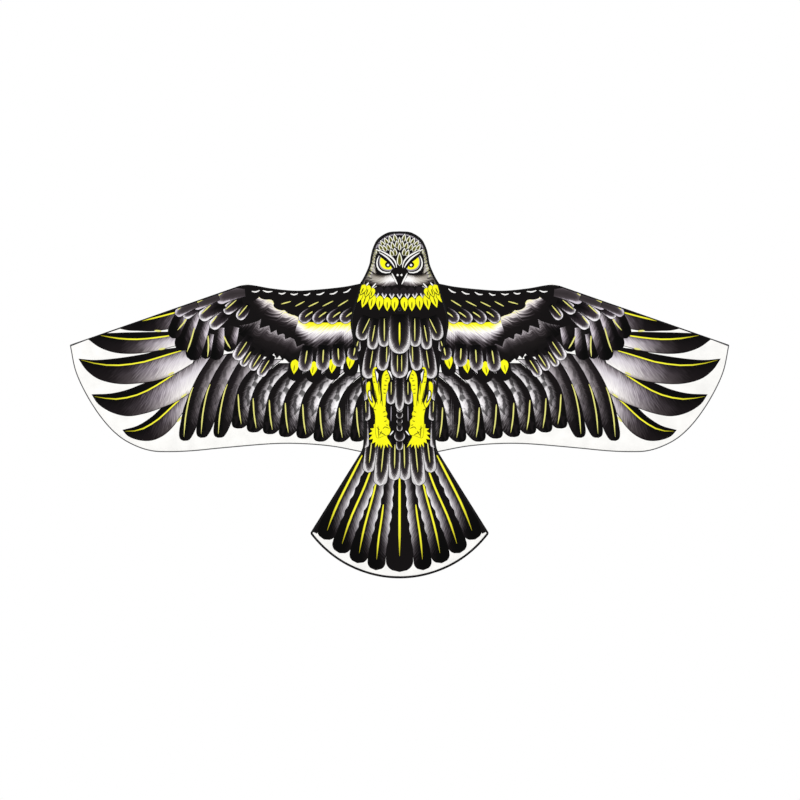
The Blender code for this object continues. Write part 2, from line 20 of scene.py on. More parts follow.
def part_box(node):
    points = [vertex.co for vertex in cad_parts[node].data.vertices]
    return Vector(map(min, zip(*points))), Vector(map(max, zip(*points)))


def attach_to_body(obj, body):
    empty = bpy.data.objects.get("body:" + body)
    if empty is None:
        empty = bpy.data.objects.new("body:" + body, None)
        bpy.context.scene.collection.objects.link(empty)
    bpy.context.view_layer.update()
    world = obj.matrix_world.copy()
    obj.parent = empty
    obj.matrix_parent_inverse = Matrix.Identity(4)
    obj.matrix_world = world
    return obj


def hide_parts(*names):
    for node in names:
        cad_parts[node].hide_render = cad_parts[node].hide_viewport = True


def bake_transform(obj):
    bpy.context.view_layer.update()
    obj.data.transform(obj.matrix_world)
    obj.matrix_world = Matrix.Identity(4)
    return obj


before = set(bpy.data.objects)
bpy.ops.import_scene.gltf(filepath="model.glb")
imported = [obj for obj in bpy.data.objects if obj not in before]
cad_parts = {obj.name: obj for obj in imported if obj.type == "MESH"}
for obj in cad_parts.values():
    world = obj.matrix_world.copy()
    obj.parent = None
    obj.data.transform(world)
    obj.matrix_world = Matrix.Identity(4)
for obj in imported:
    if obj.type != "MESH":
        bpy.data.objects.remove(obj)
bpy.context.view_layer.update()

LOG = logging.getLogger("kite")
MM = 0.001
DECIMETRE = 100.0  # the barb map's unit, in mm

Point = tuple[float, float]
Colour = tuple[float, float, float, float]
Tree = bpy.types.NodeTree
Socket = bpy.types.NodeSocket
Material = bpy.types.Material
Piece = bpy.types.Object
Shape = bmesh.types.BMesh

# The sail's outline, right half, as the frame has it.
WING_TIP = (749.0, -57.0)
LEADING_EDGE = ((90, 82), (126, 75), (181, 69), (236, 66), (290, 71), (327, 77.5), (345, 79.5), (363, 77.5))
TRAILING_EDGE = (WING_TIP, (736, -118), (708, -177), (672, -230), (636, -266), (599, -287), (563, -298),
                 (526, -300), (472, -298), (399, -291), (290, -282), (217, -282), (150, -288), (87, -300))
BODY_SIDE = ((90, 82), (101, 41), (111, 0), (106, -41), (92, -101), (86, -161), (82, -223), (82, -280),
             (87, -300))
HEAD = ((0, 201), (26, 198.5), (49, 184), (60, 164), (65, 145), (68, 127), (75, 109), (83, 93))
TAIL_CORNER = (203.0, -485.0)
TAIL_ARC_RADIUS = 253.0
TAIL_ARC_CENTRE = -334.0
SEAM_GAP = 0.3

# The stretch beside each hinge over which the cloth bends, from the spine outwards.
FOLD_START = 113.5
FOLD_END = 139.5

# Where the rods run: heights and distances from the spine, and depths behind the sail's plane.
ROD_DEPTH = 4.8
SPINE_TOP = 186.0
SPINE_JOINT = -196.0
SPINE_BOTTOM = -573.0
SPREADER_DEPTH = 12.0
SPAR_INSET = 6.0  # from the leading edge to the spar's middle
SPAR_TIP = 728.0
BATTEN = ((432.0, -28.0), (552.0, -278.0))
BATTEN_DEPTH = 2.8
TAIL_FITTING = (5.0, -267.0)
TAIL_POCKET = (182.0, -472.0)

# How the cloth lies: the height of each kind of swelling, in mm.
BILLOW = 4.2  # the middle of a wing, between spar and trailing edge
FLUTTER = 1.3  # the free trailing edge
SEAM_GATHER = 0.4  # the puckers along the seam of body and wing
HEM_GATHER = 0.3  # the puckers along the leading edge
TAIL_WAVE = 1.8  # the fan tail, between its struts
SPINE_PUCKER = 0.5  # the cloth beside the spine


def linear(colour: str) -> Colour:
    """Turns an sRGB hex colour to the linear colour that shaders take.

    Args:
        colour: the colour as "#rrggbb".

    Returns:
        The linear red, green, blue and an alpha of 1.
    """
    channels = [int(colour[i:i + 2], 16) / 255 for i in (1, 3, 5)]
    red, green, blue = [c / 12.92 if c <= 0.04045 else ((c + 0.055) / 1.055) ** 2.4 for c in channels]
    return red, green, blue, 1.0


def feed(tree: Tree, node: bpy.types.Node, inputs: dict) -> None:
    """Links or sets a node's inputs.

    Args:
        tree: the material's node tree.
        node: the node.
        inputs: sockets to link, or values to set, by the input's name or number.
    """
    for name, value in inputs.items():
        if isinstance(value, Socket):
            tree.links.new(value, node.inputs[name])
        else:
            node.inputs[name].default_value = value


def add_node(tree: Tree, kind: str, settings: dict | None = None, inputs: dict | None = None,
             stops: tuple = ()) -> bpy.types.Node:
    """Adds a shader node with its settings, and links or sets its inputs.

    Args:
        tree: the material's node tree.
        kind: the node's type, without its ShaderNode prefix.
        settings: properties of the node.
        inputs: sockets to link, or values to set, by the input's name or number.
        stops: a colour ramp's places and hex colours, in order.

    Returns:
        The new node.
    """
    node = tree.nodes.new("ShaderNode" + kind)
    for name, value in (settings or {}).items():
        setattr(node, name, value)
    feed(tree, node, inputs or {})
    if stops:
        elements = node.color_ramp.elements
        for _ in stops[2:]:
            elements.new(0.5)
        for element, (place, _) in zip(elements, stops):
            element.position = place
        for element, (_, colour) in zip(elements, stops):
            element.color = linear(colour)
    return node


# Finishes --------------------


class Spread(Enum):
    """How a printed gradient runs over its shape."""

    FLAT = "flat"
    ACROSS = "across"
    RADIAL = "radial"


@dataclass(frozen=True)
class PrintedInk:
    """Dye-sublimated ink in plain-woven 190T polyester: soft matt colour that sits in the threads."""

    name: str
    across: tuple
    along: tuple = ()
    spread: Spread = Spread.ACROSS
    barbs: float = 0.0
    barb_pitch: float = 2.6
    mottle: float = 0.0
    thread: float = 1.7  # the real 0.25 mm threads are too fine to show, so they are drawn this coarse, in mm
    show_through: float = 0.42  # how far the print pales on the back of the cloth

    def material(self) -> Material:
        """Builds the ink's material.

        Returns:
            A material that follows the shape's own maps, with the cloth's weave and sheen.
        """
        made = bpy.data.materials.new(f"printed_polyester_{self.name}")
        made.use_nodes = True
        tree = made.node_tree
        colour = self.dye_variation(tree, self.pattern(tree))
        side = add_node(tree, "Attribute", {"attribute_name": "back"}).outputs["Fac"]
        pale = add_node(tree, "Math", {"operation": "MULTIPLY"}, {0: side, 1: self.show_through})
        worn = add_node(tree, "Mix", {"data_type": "RGBA"},
                        {0: pale.outputs[0], 6: colour, 7: linear("#dcdcda")})
        # Polyester cloth: matt, with a faint fuzz of light at grazing angles.
        feed(tree, tree.nodes["Principled BSDF"],
             {"Base Color": worn.outputs[2], "Roughness": 0.72, "IOR": 1.45, "Specular IOR Level": 0.07,
              "Sheen Weight": 0.02, "Sheen Roughness": 0.45, "Normal": self.weave(tree)})
        return made

    def pattern(self, tree: Tree) -> Socket | Colour:
        """Draws the gradient, the barbs and the dark mottles of one feather.

        Args:
            tree: the material's node tree.

        Returns:
            The colour of the print; a plain colour where there is no gradient.
        """
        if self.spread is Spread.FLAT:
            return linear(self.across[0][1])
        vane = add_node(tree, "UVMap", {"uv_map": "vane"})
        place = add_node(tree, "SeparateXYZ", inputs={0: vane.outputs[0]})
        barb = add_node(tree, "UVMap", {"uv_map": "barb"}).outputs[0]
        along = place.outputs[1]
        reading = place.outputs[0]
        if self.spread is Spread.RADIAL:
            reading = self.distance_from_heart(tree, reading, along)
        if self.barbs:
            streak = self.barb_streaks(tree, barb)
            reading = add_node(tree, "Math", {"operation": "ADD"}, {0: reading, 1: streak}).outputs[0]
            along = add_node(tree, "Math", {"operation": "ADD"}, {0: along, 1: streak}).outputs[0]
        colour = add_node(tree, "ValToRGB", inputs={0: reading}, stops=self.across).outputs[0]
        if self.along:
            length = add_node(tree, "ValToRGB", inputs={0: along}, stops=self.along).outputs[0]
            both = add_node(tree, "Mix", {"data_type": "RGBA", "blend_type": "MULTIPLY"},
                            {0: 1.0, 6: colour, 7: length})
            colour = both.outputs[2]
        if self.mottle:
            colour = self.draw_mottles(tree, barb, colour)
        return colour

    def distance_from_heart(self, tree: Tree, across: Socket, along: Socket) -> Socket:
        """Measures how far a point lies from the dark heart of a rounded feather, 1 at its rim.

        Args:
            tree: the material's node tree.
            across: the place across the feather, 0 to 1.
            along: the place along it, 0 at the root and 1 at the tip.

        Returns:
            The distance.
        """
        centred = add_node(tree, "MapRange", {"clamp": False}, {0: across, 1: 0.0, 2: 1.0, 3: -1.0, 4: 1.0})
        end = add_node(tree, "MapRange", inputs={0: along, 1: 0.42, 2: 1.0, 3: 0.0, 4: 1.0})
        joined = add_node(tree, "CombineXYZ", inputs={0: centred.outputs[0], 1: end.outputs[0]})
        return add_node(tree, "VectorMath", {"operation": "LENGTH"}, {0: joined.outputs[0]}).outputs["Value"]

    def barb_streaks(self, tree: Tree, barb: Socket) -> Socket:
        """Works out fine streaks that sweep from the shaft out towards the tip.

        Args:
            tree: the material's node tree.
            barb: the map in decimetres, across and along the shaft.

        Returns:
            How far each streak pushes the gradient, either way.
        """
        place = add_node(tree, "SeparateXYZ", inputs={0: barb})
        aside = add_node(tree, "Math", {"operation": "ABSOLUTE"}, {0: place.outputs[0]})
        swept = add_node(tree, "Math", {"operation": "MULTIPLY_ADD"},
                         {0: aside.outputs[0], 1: -1.1, 2: place.outputs[1]})
        pitch = DECIMETRE / self.barb_pitch
        fine = add_node(tree, "Math", {"operation": "MULTIPLY"}, {0: swept.outputs[0], 1: pitch})
        wide = add_node(tree, "Math", {"operation": "MULTIPLY"}, {0: place.outputs[0], 1: pitch * 0.14})
        run = add_node(tree, "CombineXYZ", inputs={0: fine.outputs[0], 1: wide.outputs[0]})
        noise = add_node(tree, "TexNoise", {"noise_dimensions": "2D"},
                         {"Vector": run.outputs[0], "Scale": 1.0, "Detail": 2.0, "Roughness": 0.6})
        push = add_node(tree, "MapRange", inputs={0: noise.outputs[0], 1: 0.25, 2: 0.75, 3: -self.barbs,
                                                  4: self.barbs})
        return push.outputs[0]

    def draw_mottles(self, tree: Tree, barb: Socket, colour: Socket) -> Socket:
        """Draws the dark blotches of a barred feather, about 20 mm apart.

        Args:
            tree: the material's node tree.
            barb: the map in decimetres, across and along the shaft.
            colour: the colour to mottle.

        Returns:
            The mottled colour.
        """
        sized = add_node(tree, "Mapping", inputs={0: barb, 3: (7.5, 4.6, 1.0)})
        noise = add_node(tree, "TexNoise", {"noise_dimensions": "2D"},
                         {"Vector": sized.outputs[0], "Scale": 1.0, "Detail": 1.5, "Roughness": 0.55})
        amount = add_node(tree, "MapRange", inputs={0: noise.outputs[0], 1: 0.5, 2: 0.62, 3: 0.0,
                                                    4: self.mottle})
        mixed = add_node(tree, "Mix", {"data_type": "RGBA"},
                         {0: amount.outputs[0], 6: colour, 7: linear("#141012")})
        return mixed.outputs[2]

    def dye_variation(self, tree: Tree, colour: Socket | Colour) -> Socket:
        """Varies the dye a little over patches of a few centimetres, as heat transfer leaves it.

        Args:
            tree: the material's node tree.
            colour: the printed colour.

        Returns:
            The varied colour.
        """
        place = add_node(tree, "TexCoord").outputs["Object"]
        noise = add_node(tree, "TexNoise", inputs={"Vector": place, "Scale": 28.0, "Detail": 4.0})
        value = add_node(tree, "MapRange", inputs={0: noise.outputs[0], 1: 0.3, 2: 0.7, 3: 0.93, 4: 1.04})
        varied = add_node(tree, "HueSaturation", inputs={"Value": value.outputs[0], "Color": colour})
        return varied.outputs[0]

    def weave(self, tree: Tree) -> Socket:
        """Raises the warp and weft threads.

        Args:
            tree: the material's node tree.

        Returns:
            The bumped normal.
        """
        place = add_node(tree, "TexCoord").outputs["Object"]
        scale = 1 / (self.thread * MM) / 3.2  # a wave texture repeats about every 0.31 of its unit
        waves = [add_node(tree, "TexWave", {"bands_direction": axis, "wave_profile": "SIN"},
                          {"Vector": place, "Scale": scale}).outputs["Fac"] for axis in ("X", "Z")]
        height = add_node(tree, "Math", {"operation": "ADD"}, {0: waves[0], 1: waves[1]})
        bump = add_node(tree, "Bump", inputs={"Strength": 0.12, "Distance": 0.0002,
                                              "Height": height.outputs[0]})
        return bump.outputs[0]


class Ink(Enum):
    """The inks of the print, by the shapes that they fill."""

    WHITE = PrintedInk("unprinted_white", ((0, "#efeeec"),), spread=Spread.FLAT, show_through=0.1)
    BLACK = PrintedInk("black", ((0, "#0d0a0b"),), spread=Spread.FLAT)
    CHARCOAL = PrintedInk("charcoal", ((0, "#1f1a1d"),), spread=Spread.FLAT)
    EDGE_GREY = PrintedInk("edge_grey", ((0, "#4a4a4c"),), spread=Spread.FLAT)
    YELLOW = PrintedInk("yellow", ((0, "#f1ee1a"),), spread=Spread.FLAT)
    PALE = PrintedInk("pale_yellow", ((0, "#dcd97a"),), spread=Spread.FLAT)
    OLIVE = PrintedInk("olive", ((0, "#4f4d0c"),), spread=Spread.FLAT)
    LILAC = PrintedInk("lilac_grey", ((0, "#98929c"),), spread=Spread.FLAT)
    SHAFT = PrintedInk(
        "yellow_shaft",
        ((0.0, "#d9d44a"), (0.3, "#f4f03a"), (0.7, "#f4f03a"), (1.0, "#c9c53a")),
        ((0.0, "#fffff0"), (0.6, "#fffff0"), (1.0, "#b9b39a")))
    PRIMARY = PrintedInk(
        "primary_vane",
        ((0.0, "#b8b1a8"), (0.06, "#f4f1ee"), (0.3, "#d3cdd4"), (0.44, "#8a8288"), (0.5, "#0d0a0b"),
         (1.0, "#0d0a0b")),
        ((0.0, "#ffffff"), (0.26, "#ffffff"), (0.38, "#e8e5e7"), (0.5, "#a09a9f"), (0.63, "#4a4447"),
         (0.77, "#1a1517"), (1.0, "#0d0a0b")),
        barbs=0.05)
    SECONDARY = PrintedInk(
        "secondary_vane",
        ((0.0, "#ffffff"), (0.14, "#fbfafb"), (0.26, "#dfdcde"), (0.4, "#a39fa2"), (0.53, "#4c484a"),
         (0.64, "#120e0f"), (1.0, "#0d0a0b")),
        ((0.0, "#e6e3e6"), (0.3, "#ffffff"), (0.6, "#f7f5f7"), (0.76, "#8a8588"), (0.9, "#1d191a"),
         (1.0, "#0d0a0b")),
        barbs=0.07, mottle=0.85)
    LONG = PrintedInk(
        "long_vane",
        ((0.0, "#ffffff"), (0.09, "#f4f1f3"), (0.2, "#b8b2b6"), (0.42, "#6a6467"), (0.6, "#1f1a1c"),
         (1.0, "#0d0a0b")),
        ((0.0, "#ffffff"), (0.4, "#f4f1f3"), (0.62, "#8c878a"), (0.82, "#2a2527"), (1.0, "#0d0a0b")),
        barbs=0.06, mottle=0.45)
    WRIST = PrintedInk(
        "wrist_vane",
        ((0.0, "#f2eef2"), (0.14, "#cbc4cb"), (0.34, "#6a6368"), (0.52, "#171314"), (1.0, "#0d0a0b")),
        ((0.0, "#ffffff"), (0.28, "#f0ecf0"), (0.5, "#8a8388"), (0.7, "#262023"), (1.0, "#0d0a0b")),
        barbs=0.08)
    COVERT = PrintedInk(
        "covert",
        ((0.0, "#181315"), (0.4, "#332c31"), (0.7, "#3b343a"), (0.84, "#7c777b"), (0.94, "#dcd8dc"),
         (1.0, "#f1eef1")),
        ((0.0, "#2c282a"), (0.3, "#6e686c"), (0.65, "#e6e3e6"), (1.0, "#ffffff")),
        spread=Spread.RADIAL, barbs=0.07)
    DARK_COVERT = PrintedInk(
        "dark_covert",
        ((0.0, "#2f2a2c"), (0.55, "#3a3437"), (0.8, "#5c555a"), (0.94, "#b3abb5"), (1.0, "#c9c2cc")),
        spread=Spread.RADIAL, barbs=0.08)
    UNDER_COVERT = PrintedInk(
        "under_covert",
        ((0.0, "#120e10"), (0.5, "#231d20"), (0.75, "#443e42"), (0.9, "#8b858a"), (1.0, "#cbc7ca")),
        ((0.0, "#0d0a0b"), (0.25, "#4a4448"), (0.5, "#ffffff"), (1.0, "#ffffff")),
        spread=Spread.RADIAL, barbs=0.1)
    GLOW = PrintedInk(
        "yellow_glow",
        ((0.0, "#ffffff"), (1.0, "#ffffff")),
        ((0.0, "#f1ea12"), (0.16, "#f4ee3c"), (0.3, "#f7f4c4"), (0.42, "#f4f1f2"), (0.58, "#b9b2b8"),
         (0.74, "#4a4348"), (0.9, "#120e0f"), (1.0, "#0d0a0b")),
        barbs=0.11, barb_pitch=4.2)
    SOFT_FUR = PrintedInk(
        "soft_fur",
        ((0.0, "#8f8a70"), (0.08, "#ffffff"), (1.0, "#ffffff")),
        ((0.0, "#efe9a2"), (0.08, "#efe9dd"), (0.17, "#d5cdce"), (0.32, "#6f676b"), (0.47, "#2a2427"),
         (0.66, "#120e0f"), (1.0, "#0d0a0b")),
        barbs=0.16, barb_pitch=4.6)
    TEETH = PrintedInk(
        "toothed_fur",
        ((0.0, "#8a8488"), (0.2, "#ffffff"), (0.62, "#ffffff"), (1.0, "#4a4548")),
        ((0.0, "#a59ea2"), (0.07, "#6d666a"), (0.22, "#383235"), (0.5, "#191516"), (1.0, "#0d0a0b")),
        barbs=0.12, barb_pitch=3.4)
    TAIL = PrintedInk(
        "tail_vane",
        ((0.0, "#ffffff"), (0.08, "#e0dde0"), (0.2, "#8d888c"), (0.36, "#2d282b"), (0.47, "#0f0b0c"),
         (1.0, "#0d0a0b")),
        ((0.0, "#d6d3d6"), (0.3, "#ffffff"), (0.55, "#eae8ea"), (0.75, "#6d686b"), (0.88, "#171214"),
         (1.0, "#0d0a0b")),
        barbs=0.05)
    CHEST = PrintedInk(
        "chest_feather",
        ((0.0, "#0f0c0d"), (0.5, "#1b1719"), (0.74, "#373234"), (0.88, "#8c8789"), (0.96, "#ebe9ea"),
         (1.0, "#c6c3c5")),
        ((0.0, "#1c1819"), (0.22, "#a09aa0"), (0.5, "#ffffff"), (1.0, "#ffffff")),
        spread=Spread.RADIAL, barbs=0.07)
    SCALE = PrintedInk(
        "head_scale",
        ((0.0, "#4f4d1c"), (0.4, "#8b8948"), (0.75, "#d4d4a0"), (1.0, "#f3f2e2")),
        spread=Spread.RADIAL, barbs=0.1)
    CHEEK = PrintedInk(
        "cheek",
        ((0.0, "#ffffff"), (0.32, "#f2efee"), (0.55, "#b3ada4"), (0.8, "#8a857c"), (1.0, "#59544f")),
        ((0.0, "#1a1614"), (0.12, "#807b76"), (0.28, "#f4f2f0"), (0.52, "#ffffff"), (0.7, "#8d8688"),
         (0.9, "#171314"), (1.0, "#0d0a0b")),
        barbs=0.09, barb_pitch=2.2)
    FACE_FUR = PrintedInk(
        "face_fur",
        ((0.0, "#8f8b7c"), (0.4, "#cfcbc2"), (0.75, "#b0aba6"), (1.0, "#6c6662")),
        ((0.0, "#6a665c"), (0.2, "#ffffff"), (0.75, "#f4f2ee"), (1.0, "#4d4845")),
        barbs=0.3, barb_pitch=1.6)


@dataclass(frozen=True)
class PlainFinish:
    """A finish with one colour and a fine pattern in its roughness and height."""

    name: str
    colour: str
    worn_colour: str
    roughness: float
    metallic: float = 0.0
    ior: float = 1.5
    grain: float = 1.0  # the pattern's size in mm
    stretch: tuple[float, float, float] = (1.0, 1.0, 1.0)
    bump: float = 0.1
    coat: float = 0.0
    sheen: float = 0.0
    specular: float = 0.5
    woven: bool = False

    def material(self) -> Material:
        """Builds the finish.

        Returns:
            A material on object coordinates, so that its pattern stays the same size on every piece.
        """
        made = bpy.data.materials.new(self.name)
        made.use_nodes = True
        tree = made.node_tree
        place = add_node(tree, "TexCoord").outputs["Object"]
        sized = add_node(tree, "Mapping", inputs={0: place, 3: self.stretch})
        fine = add_node(tree, "TexNoise", inputs={"Vector": sized.outputs[0], "Scale": 1 / (self.grain * MM),
                                                  "Detail": 4.0, "Roughness": 0.6})
        broad = add_node(tree, "TexNoise", inputs={"Vector": place, "Scale": 22.0, "Detail": 3.0})
        wear = add_node(tree, "MapRange", inputs={0: broad.outputs[0], 1: 0.42, 2: 0.68, 3: 0.0, 4: 1.0})
        colour = add_node(tree, "Mix", {"data_type": "RGBA"},
                          {0: wear.outputs[0], 6: linear(self.colour), 7: linear(self.worn_colour)})
        rough = add_node(tree, "MapRange", inputs={0: fine.outputs[0], 1: 0.3, 2: 0.7,
                                                   3: self.roughness - 0.07, 4: self.roughness + 0.07})
        height = fine.outputs[0]
        if self.woven:
            # Tape ribs, drawn 1.2 mm apart where the real threads are 0.3 mm.
            ribs = [add_node(tree, "TexWave", {"bands_direction": axis},
                             {"Vector": place, "Scale": 260.0, "Distortion": 0.4}).outputs["Fac"]
                    for axis in ("X", "Z")]
            height = add_node(tree, "Math", {"operation": "ADD"}, {0: ribs[0], 1: ribs[1]}).outputs[0]
        bump = add_node(tree, "Bump", inputs={"Strength": self.bump, "Distance": 0.0003, "Height": height})
        feed(tree, tree.nodes["Principled BSDF"],
             {"Base Color": colour.outputs[2], "Roughness": rough.outputs[0], "Metallic": self.metallic,
              "IOR": self.ior, "Specular IOR Level": self.specular, "Coat Weight": self.coat,
              "Sheen Weight": self.sheen, "Normal": bump.outputs[0]})
        return made


class Finish(Enum):
    """The finishes of the sewn tapes and of the frame."""

    # Woven polyester tape: deep black, ribbed, with a soft edge of light.
    TAPE = PlainFinish("woven_polyester_tape", "#0b0a0b", "#131213", 0.82, grain=0.6, bump=0.4, sheen=0.03,
                       specular=0.12, woven=True)
    # Hot-cut edging tape: the same ribs in dark grey.
    EDGING = PlainFinish("grey_edging_tape", "#3f3f41", "#4c4c4e", 0.75, grain=0.6, bump=0.4, sheen=0.03,
                         specular=0.2, woven=True)
    # Polyester sewing thread: a little glossier than the tape, so that stitches catch the light.
    THREAD = PlainFinish("polyester_thread", "#1d1c1e", "#2a292b", 0.5, grain=0.3, bump=0.3, sheen=0.05,
                         specular=0.3)
    # Pultruded glass fibre: satin resin with fine lengthwise streaks.
    FIBREGLASS = PlainFinish("pultruded_fibreglass", "#17181a", "#26282b", 0.34, ior=1.55, grain=0.9,
                             stretch=(0.12, 1.0, 0.12), bump=0.12, coat=0.25)
    # Drawn aluminium: satin grey metal with drawing lines.
    ALUMINIUM = PlainFinish("drawn_aluminium", "#c9ccd0", "#aeb2b7", 0.3, metallic=1.0, grain=0.5,
                            stretch=(0.1, 1.0, 1.0), bump=0.08)
    # Moulded glass-filled nylon: matt black with the fine spark texture of its mould.
    NYLON = PlainFinish("moulded_nylon", "#151516", "#222224", 0.5, ior=1.53, grain=0.7, bump=0.35)
    # Soft vinyl caps: satin and slightly rubbery.
    VINYL = PlainFinish("dipped_vinyl", "#121213", "#1c1c1e", 0.42, ior=1.52, grain=1.6, bump=0.12, coat=0.1)
    # Pressed and black-plated brass: satin dark metal that shines on the rolled rim.
    EYELET = PlainFinish("black_plated_brass", "#2c2c2e", "#4a4844", 0.26, metallic=1.0, grain=0.4, bump=0.05)


class Finishes:
    """Makes each material once."""

    def __init__(self) -> None:
        """Starts with no material made."""
        self.made: dict[Enum, Material] = {}

    def of(self, choice: Enum) -> Material:
        """Gives the material of an ink or a finish.

        Args:
            choice: a member of Ink or Finish.

        Returns:
            Its material, made on first use.
        """
        if choice not in self.made:
            self.made[choice] = choice.value.material()
        return self.made[choice]

    def sewn(self) -> list[Material]:
        """Gives tape and thread, in the order of a sewn piece's material numbers."""
        return [self.of(Finish.TAPE), self.of(Finish.THREAD)]


# Lines and outlines, in mm --------------------


def smooth(knots: tuple, steps: int = 5, closed: bool = False) -> list[Point]:
    """Runs a smooth curve through its knots.

    Args:
        knots: the points that it passes through.
        steps: how many points each stretch is given.
        closed: whether the curve comes back to its start.

    Returns:
        The points of a Catmull-Rom curve.
    """
    points = [np.array(k, float) for k in knots]
    count = len(points)
    stretches = count if closed else count - 1
    found = []
    for i in range(stretches):
        if closed:
            a, b, c, d = (points[(i + k) % count] for k in (-1, 0, 1, 2))
        else:
            b, c = points[i], points[i + 1]
            a = points[i - 1] if i else 2 * b - c
            d = points[i + 2] if i + 2 < count else 2 * c - b
        for step in range(steps):
            t = step / steps
            found.append(tuple(0.5 * (2 * b + (c - a) * t + (2 * a - 5 * b + 4 * c - d) * t ** 2
                                      + (3 * b - a - 3 * c + d) * t ** 3)))
    if not closed:
        found.append(tuple(points[-1]))
    return found


def resample(line: Sequence[Point], count: int) -> np.ndarray:
    """Spaces points evenly along a line.

    Args:
        line: its points.
        count: how many points to give back.

    Returns:
        The points, one row each.
    """
    points = np.array(line, float)
    lengths = np.concatenate([[0], np.cumsum(np.linalg.norm(np.diff(points, axis=0), axis=1))])
    places = np.linspace(0, lengths[-1], count)
    return np.column_stack([np.interp(places, lengths, points[:, k]) for k in (0, 1)])


def normals_of(points: np.ndarray, closed: bool) -> np.ndarray:
    """Gives the sideways direction at each point of a line, to its left."""
    if closed:
        ahead, behind = np.roll(points, -1, axis=0), np.roll(points, 1, axis=0)
    else:
        ahead = np.vstack([points[1:], points[-1:]])
        behind = np.vstack([points[:1], points[:-1]])
    run = ahead - behind
    run /= np.maximum(np.linalg.norm(run, axis=1, keepdims=True), 1e-9)
    return np.column_stack([-run[:, 1], run[:, 0]])


def inset(outline: Sequence[Point], by: float) -> list[Point]:
    """Draws a closed outline's points inwards.

    Args:
        outline: the points, either way round.
        by: the distance in mm.

    Returns:
        The smaller outline.
    """
    points = np.array(outline, float)
    x, y = points[:, 0], points[:, 1]
    area = 0.5 * np.sum(x * np.roll(y, -1) - np.roll(x, -1) * y)
    inward = normals_of(points, closed=True) * (1 if area > 0 else -1)
    return [tuple(p) for p in points + inward * by]


@dataclass(frozen=True)
class Patch:
    """One printed shape: its outline, its ink, and the line that its pattern runs along."""

    outline: Sequence[Point]
    ink: Ink
    quill: Sequence[Point] = ((0.0, 0.0), (0.0, -1.0))
    facing: tuple[Point, ...] = ()  # where set, the pattern runs from quill, as one edge, to this edge
    flipped: bool = False

    def mirrored(self) -> "Patch":
        """Gives the same shape on the other side of the spine."""
        sides = [tuple((-x, z) for x, z in line) for line in (self.outline, self.quill, self.facing)]
        return Patch(sides[0], self.ink, sides[1], sides[2], not self.flipped)


def sliver(line: Sequence[Point], width: float, ink: Ink, pointed: bool = False) -> Patch:
    """Draws a slim stroke that tapers to its ends.

    Args:
        line: its middle line.
        width: its greatest width in mm.
        ink: its ink.
        pointed: whether it runs out to a point at its far end only; otherwise both ends taper alike.

    Returns:
        The stroke.
    """
    middle = resample(line, 9)
    along = np.linspace(0, 1, 9)
    if pointed:
        half = width / 2 * np.minimum(1, 3.5 * (1 - along) + 0.15) * np.minimum(1, 4 * along + 0.45)
    else:
        half = width / 2 * np.sin(np.pi * (0.06 + 0.88 * along)) ** 0.6
    side = normals_of(middle, closed=False) * half[:, None]
    outline = [*map(tuple, middle + side), *map(tuple, (middle - side)[::-1])]
    return Patch(outline, ink, tuple(map(tuple, middle)))


@dataclass(frozen=True)
class Feather:
    """A printed feather about a shaft, from its root to its tip."""

    quill: tuple[Point, ...]
    half_width: float
    ink: Ink
    root: float = 0.7  # the root's width as a share of the whole
    blunt: float = 1.0  # how round the tip is: 1 is a half circle, and more is a longer point
    rim: Ink = Ink.BLACK
    rim_width: float = 1.2
    shaft: Ink | None = None
    shaft_from: float = 0.15
    shaft_to: float = 0.86
    shaft_width: float = 2.2
    wavy: float = 0.0  # how far the inner edge's scallops stand out, in mm

    def outline(self, by: float = 0.0) -> list[Point]:
        """Works out the feather's outline.

        Args:
            by: how far inside its edge, in mm.

        Returns:
            The closed outline.
        """
        middle = resample(smooth(self.quill, 6), 61 if self.wavy or self.half_width > 25 else 25)
        length = float(np.sum(np.linalg.norm(np.diff(middle, axis=0), axis=1)))
        along = np.linspace(0, 1, len(middle))
        round_from = max(0.05, 1 - self.blunt * self.half_width / length)
        widen = self.root + (1 - self.root) * np.sin(np.minimum(1, along / 0.6) * np.pi / 2)
        end = np.sqrt(np.clip(1 - (np.maximum(0, along - round_from) / (1 - round_from)) ** 2, 0, 1))
        half = self.half_width * widen * end
        scallops = self.wavy * np.abs(np.sin(along * length / 9.0)) * np.clip((0.85 - along) * 6, 0, 1)
        side = normals_of(middle, closed=False)
        outer, inner = middle + side * half[:, None], middle - side * (half + scallops)[:, None]
        closed = [*map(tuple, outer[:-1]), tuple(middle[-1]), *map(tuple, inner[:-1][::-1])]
        return inset(closed, by) if by else closed

    def patches(self) -> list[Patch]:
        """Gives the rim, the vane and the shaft, in the order in which they are laid down."""
        quill = tuple(smooth(self.quill, 4))
        found = [Patch(self.outline(), self.rim, quill),
                 Patch(self.outline(self.rim_width), self.ink, quill)]
        if self.shaft:
            line = resample(quill, 41)
            part = line[int(self.shaft_from * 40):int(self.shaft_to * 40) + 1]
            found.append(sliver(part, self.shaft_width, self.shaft, pointed=True))
        return found


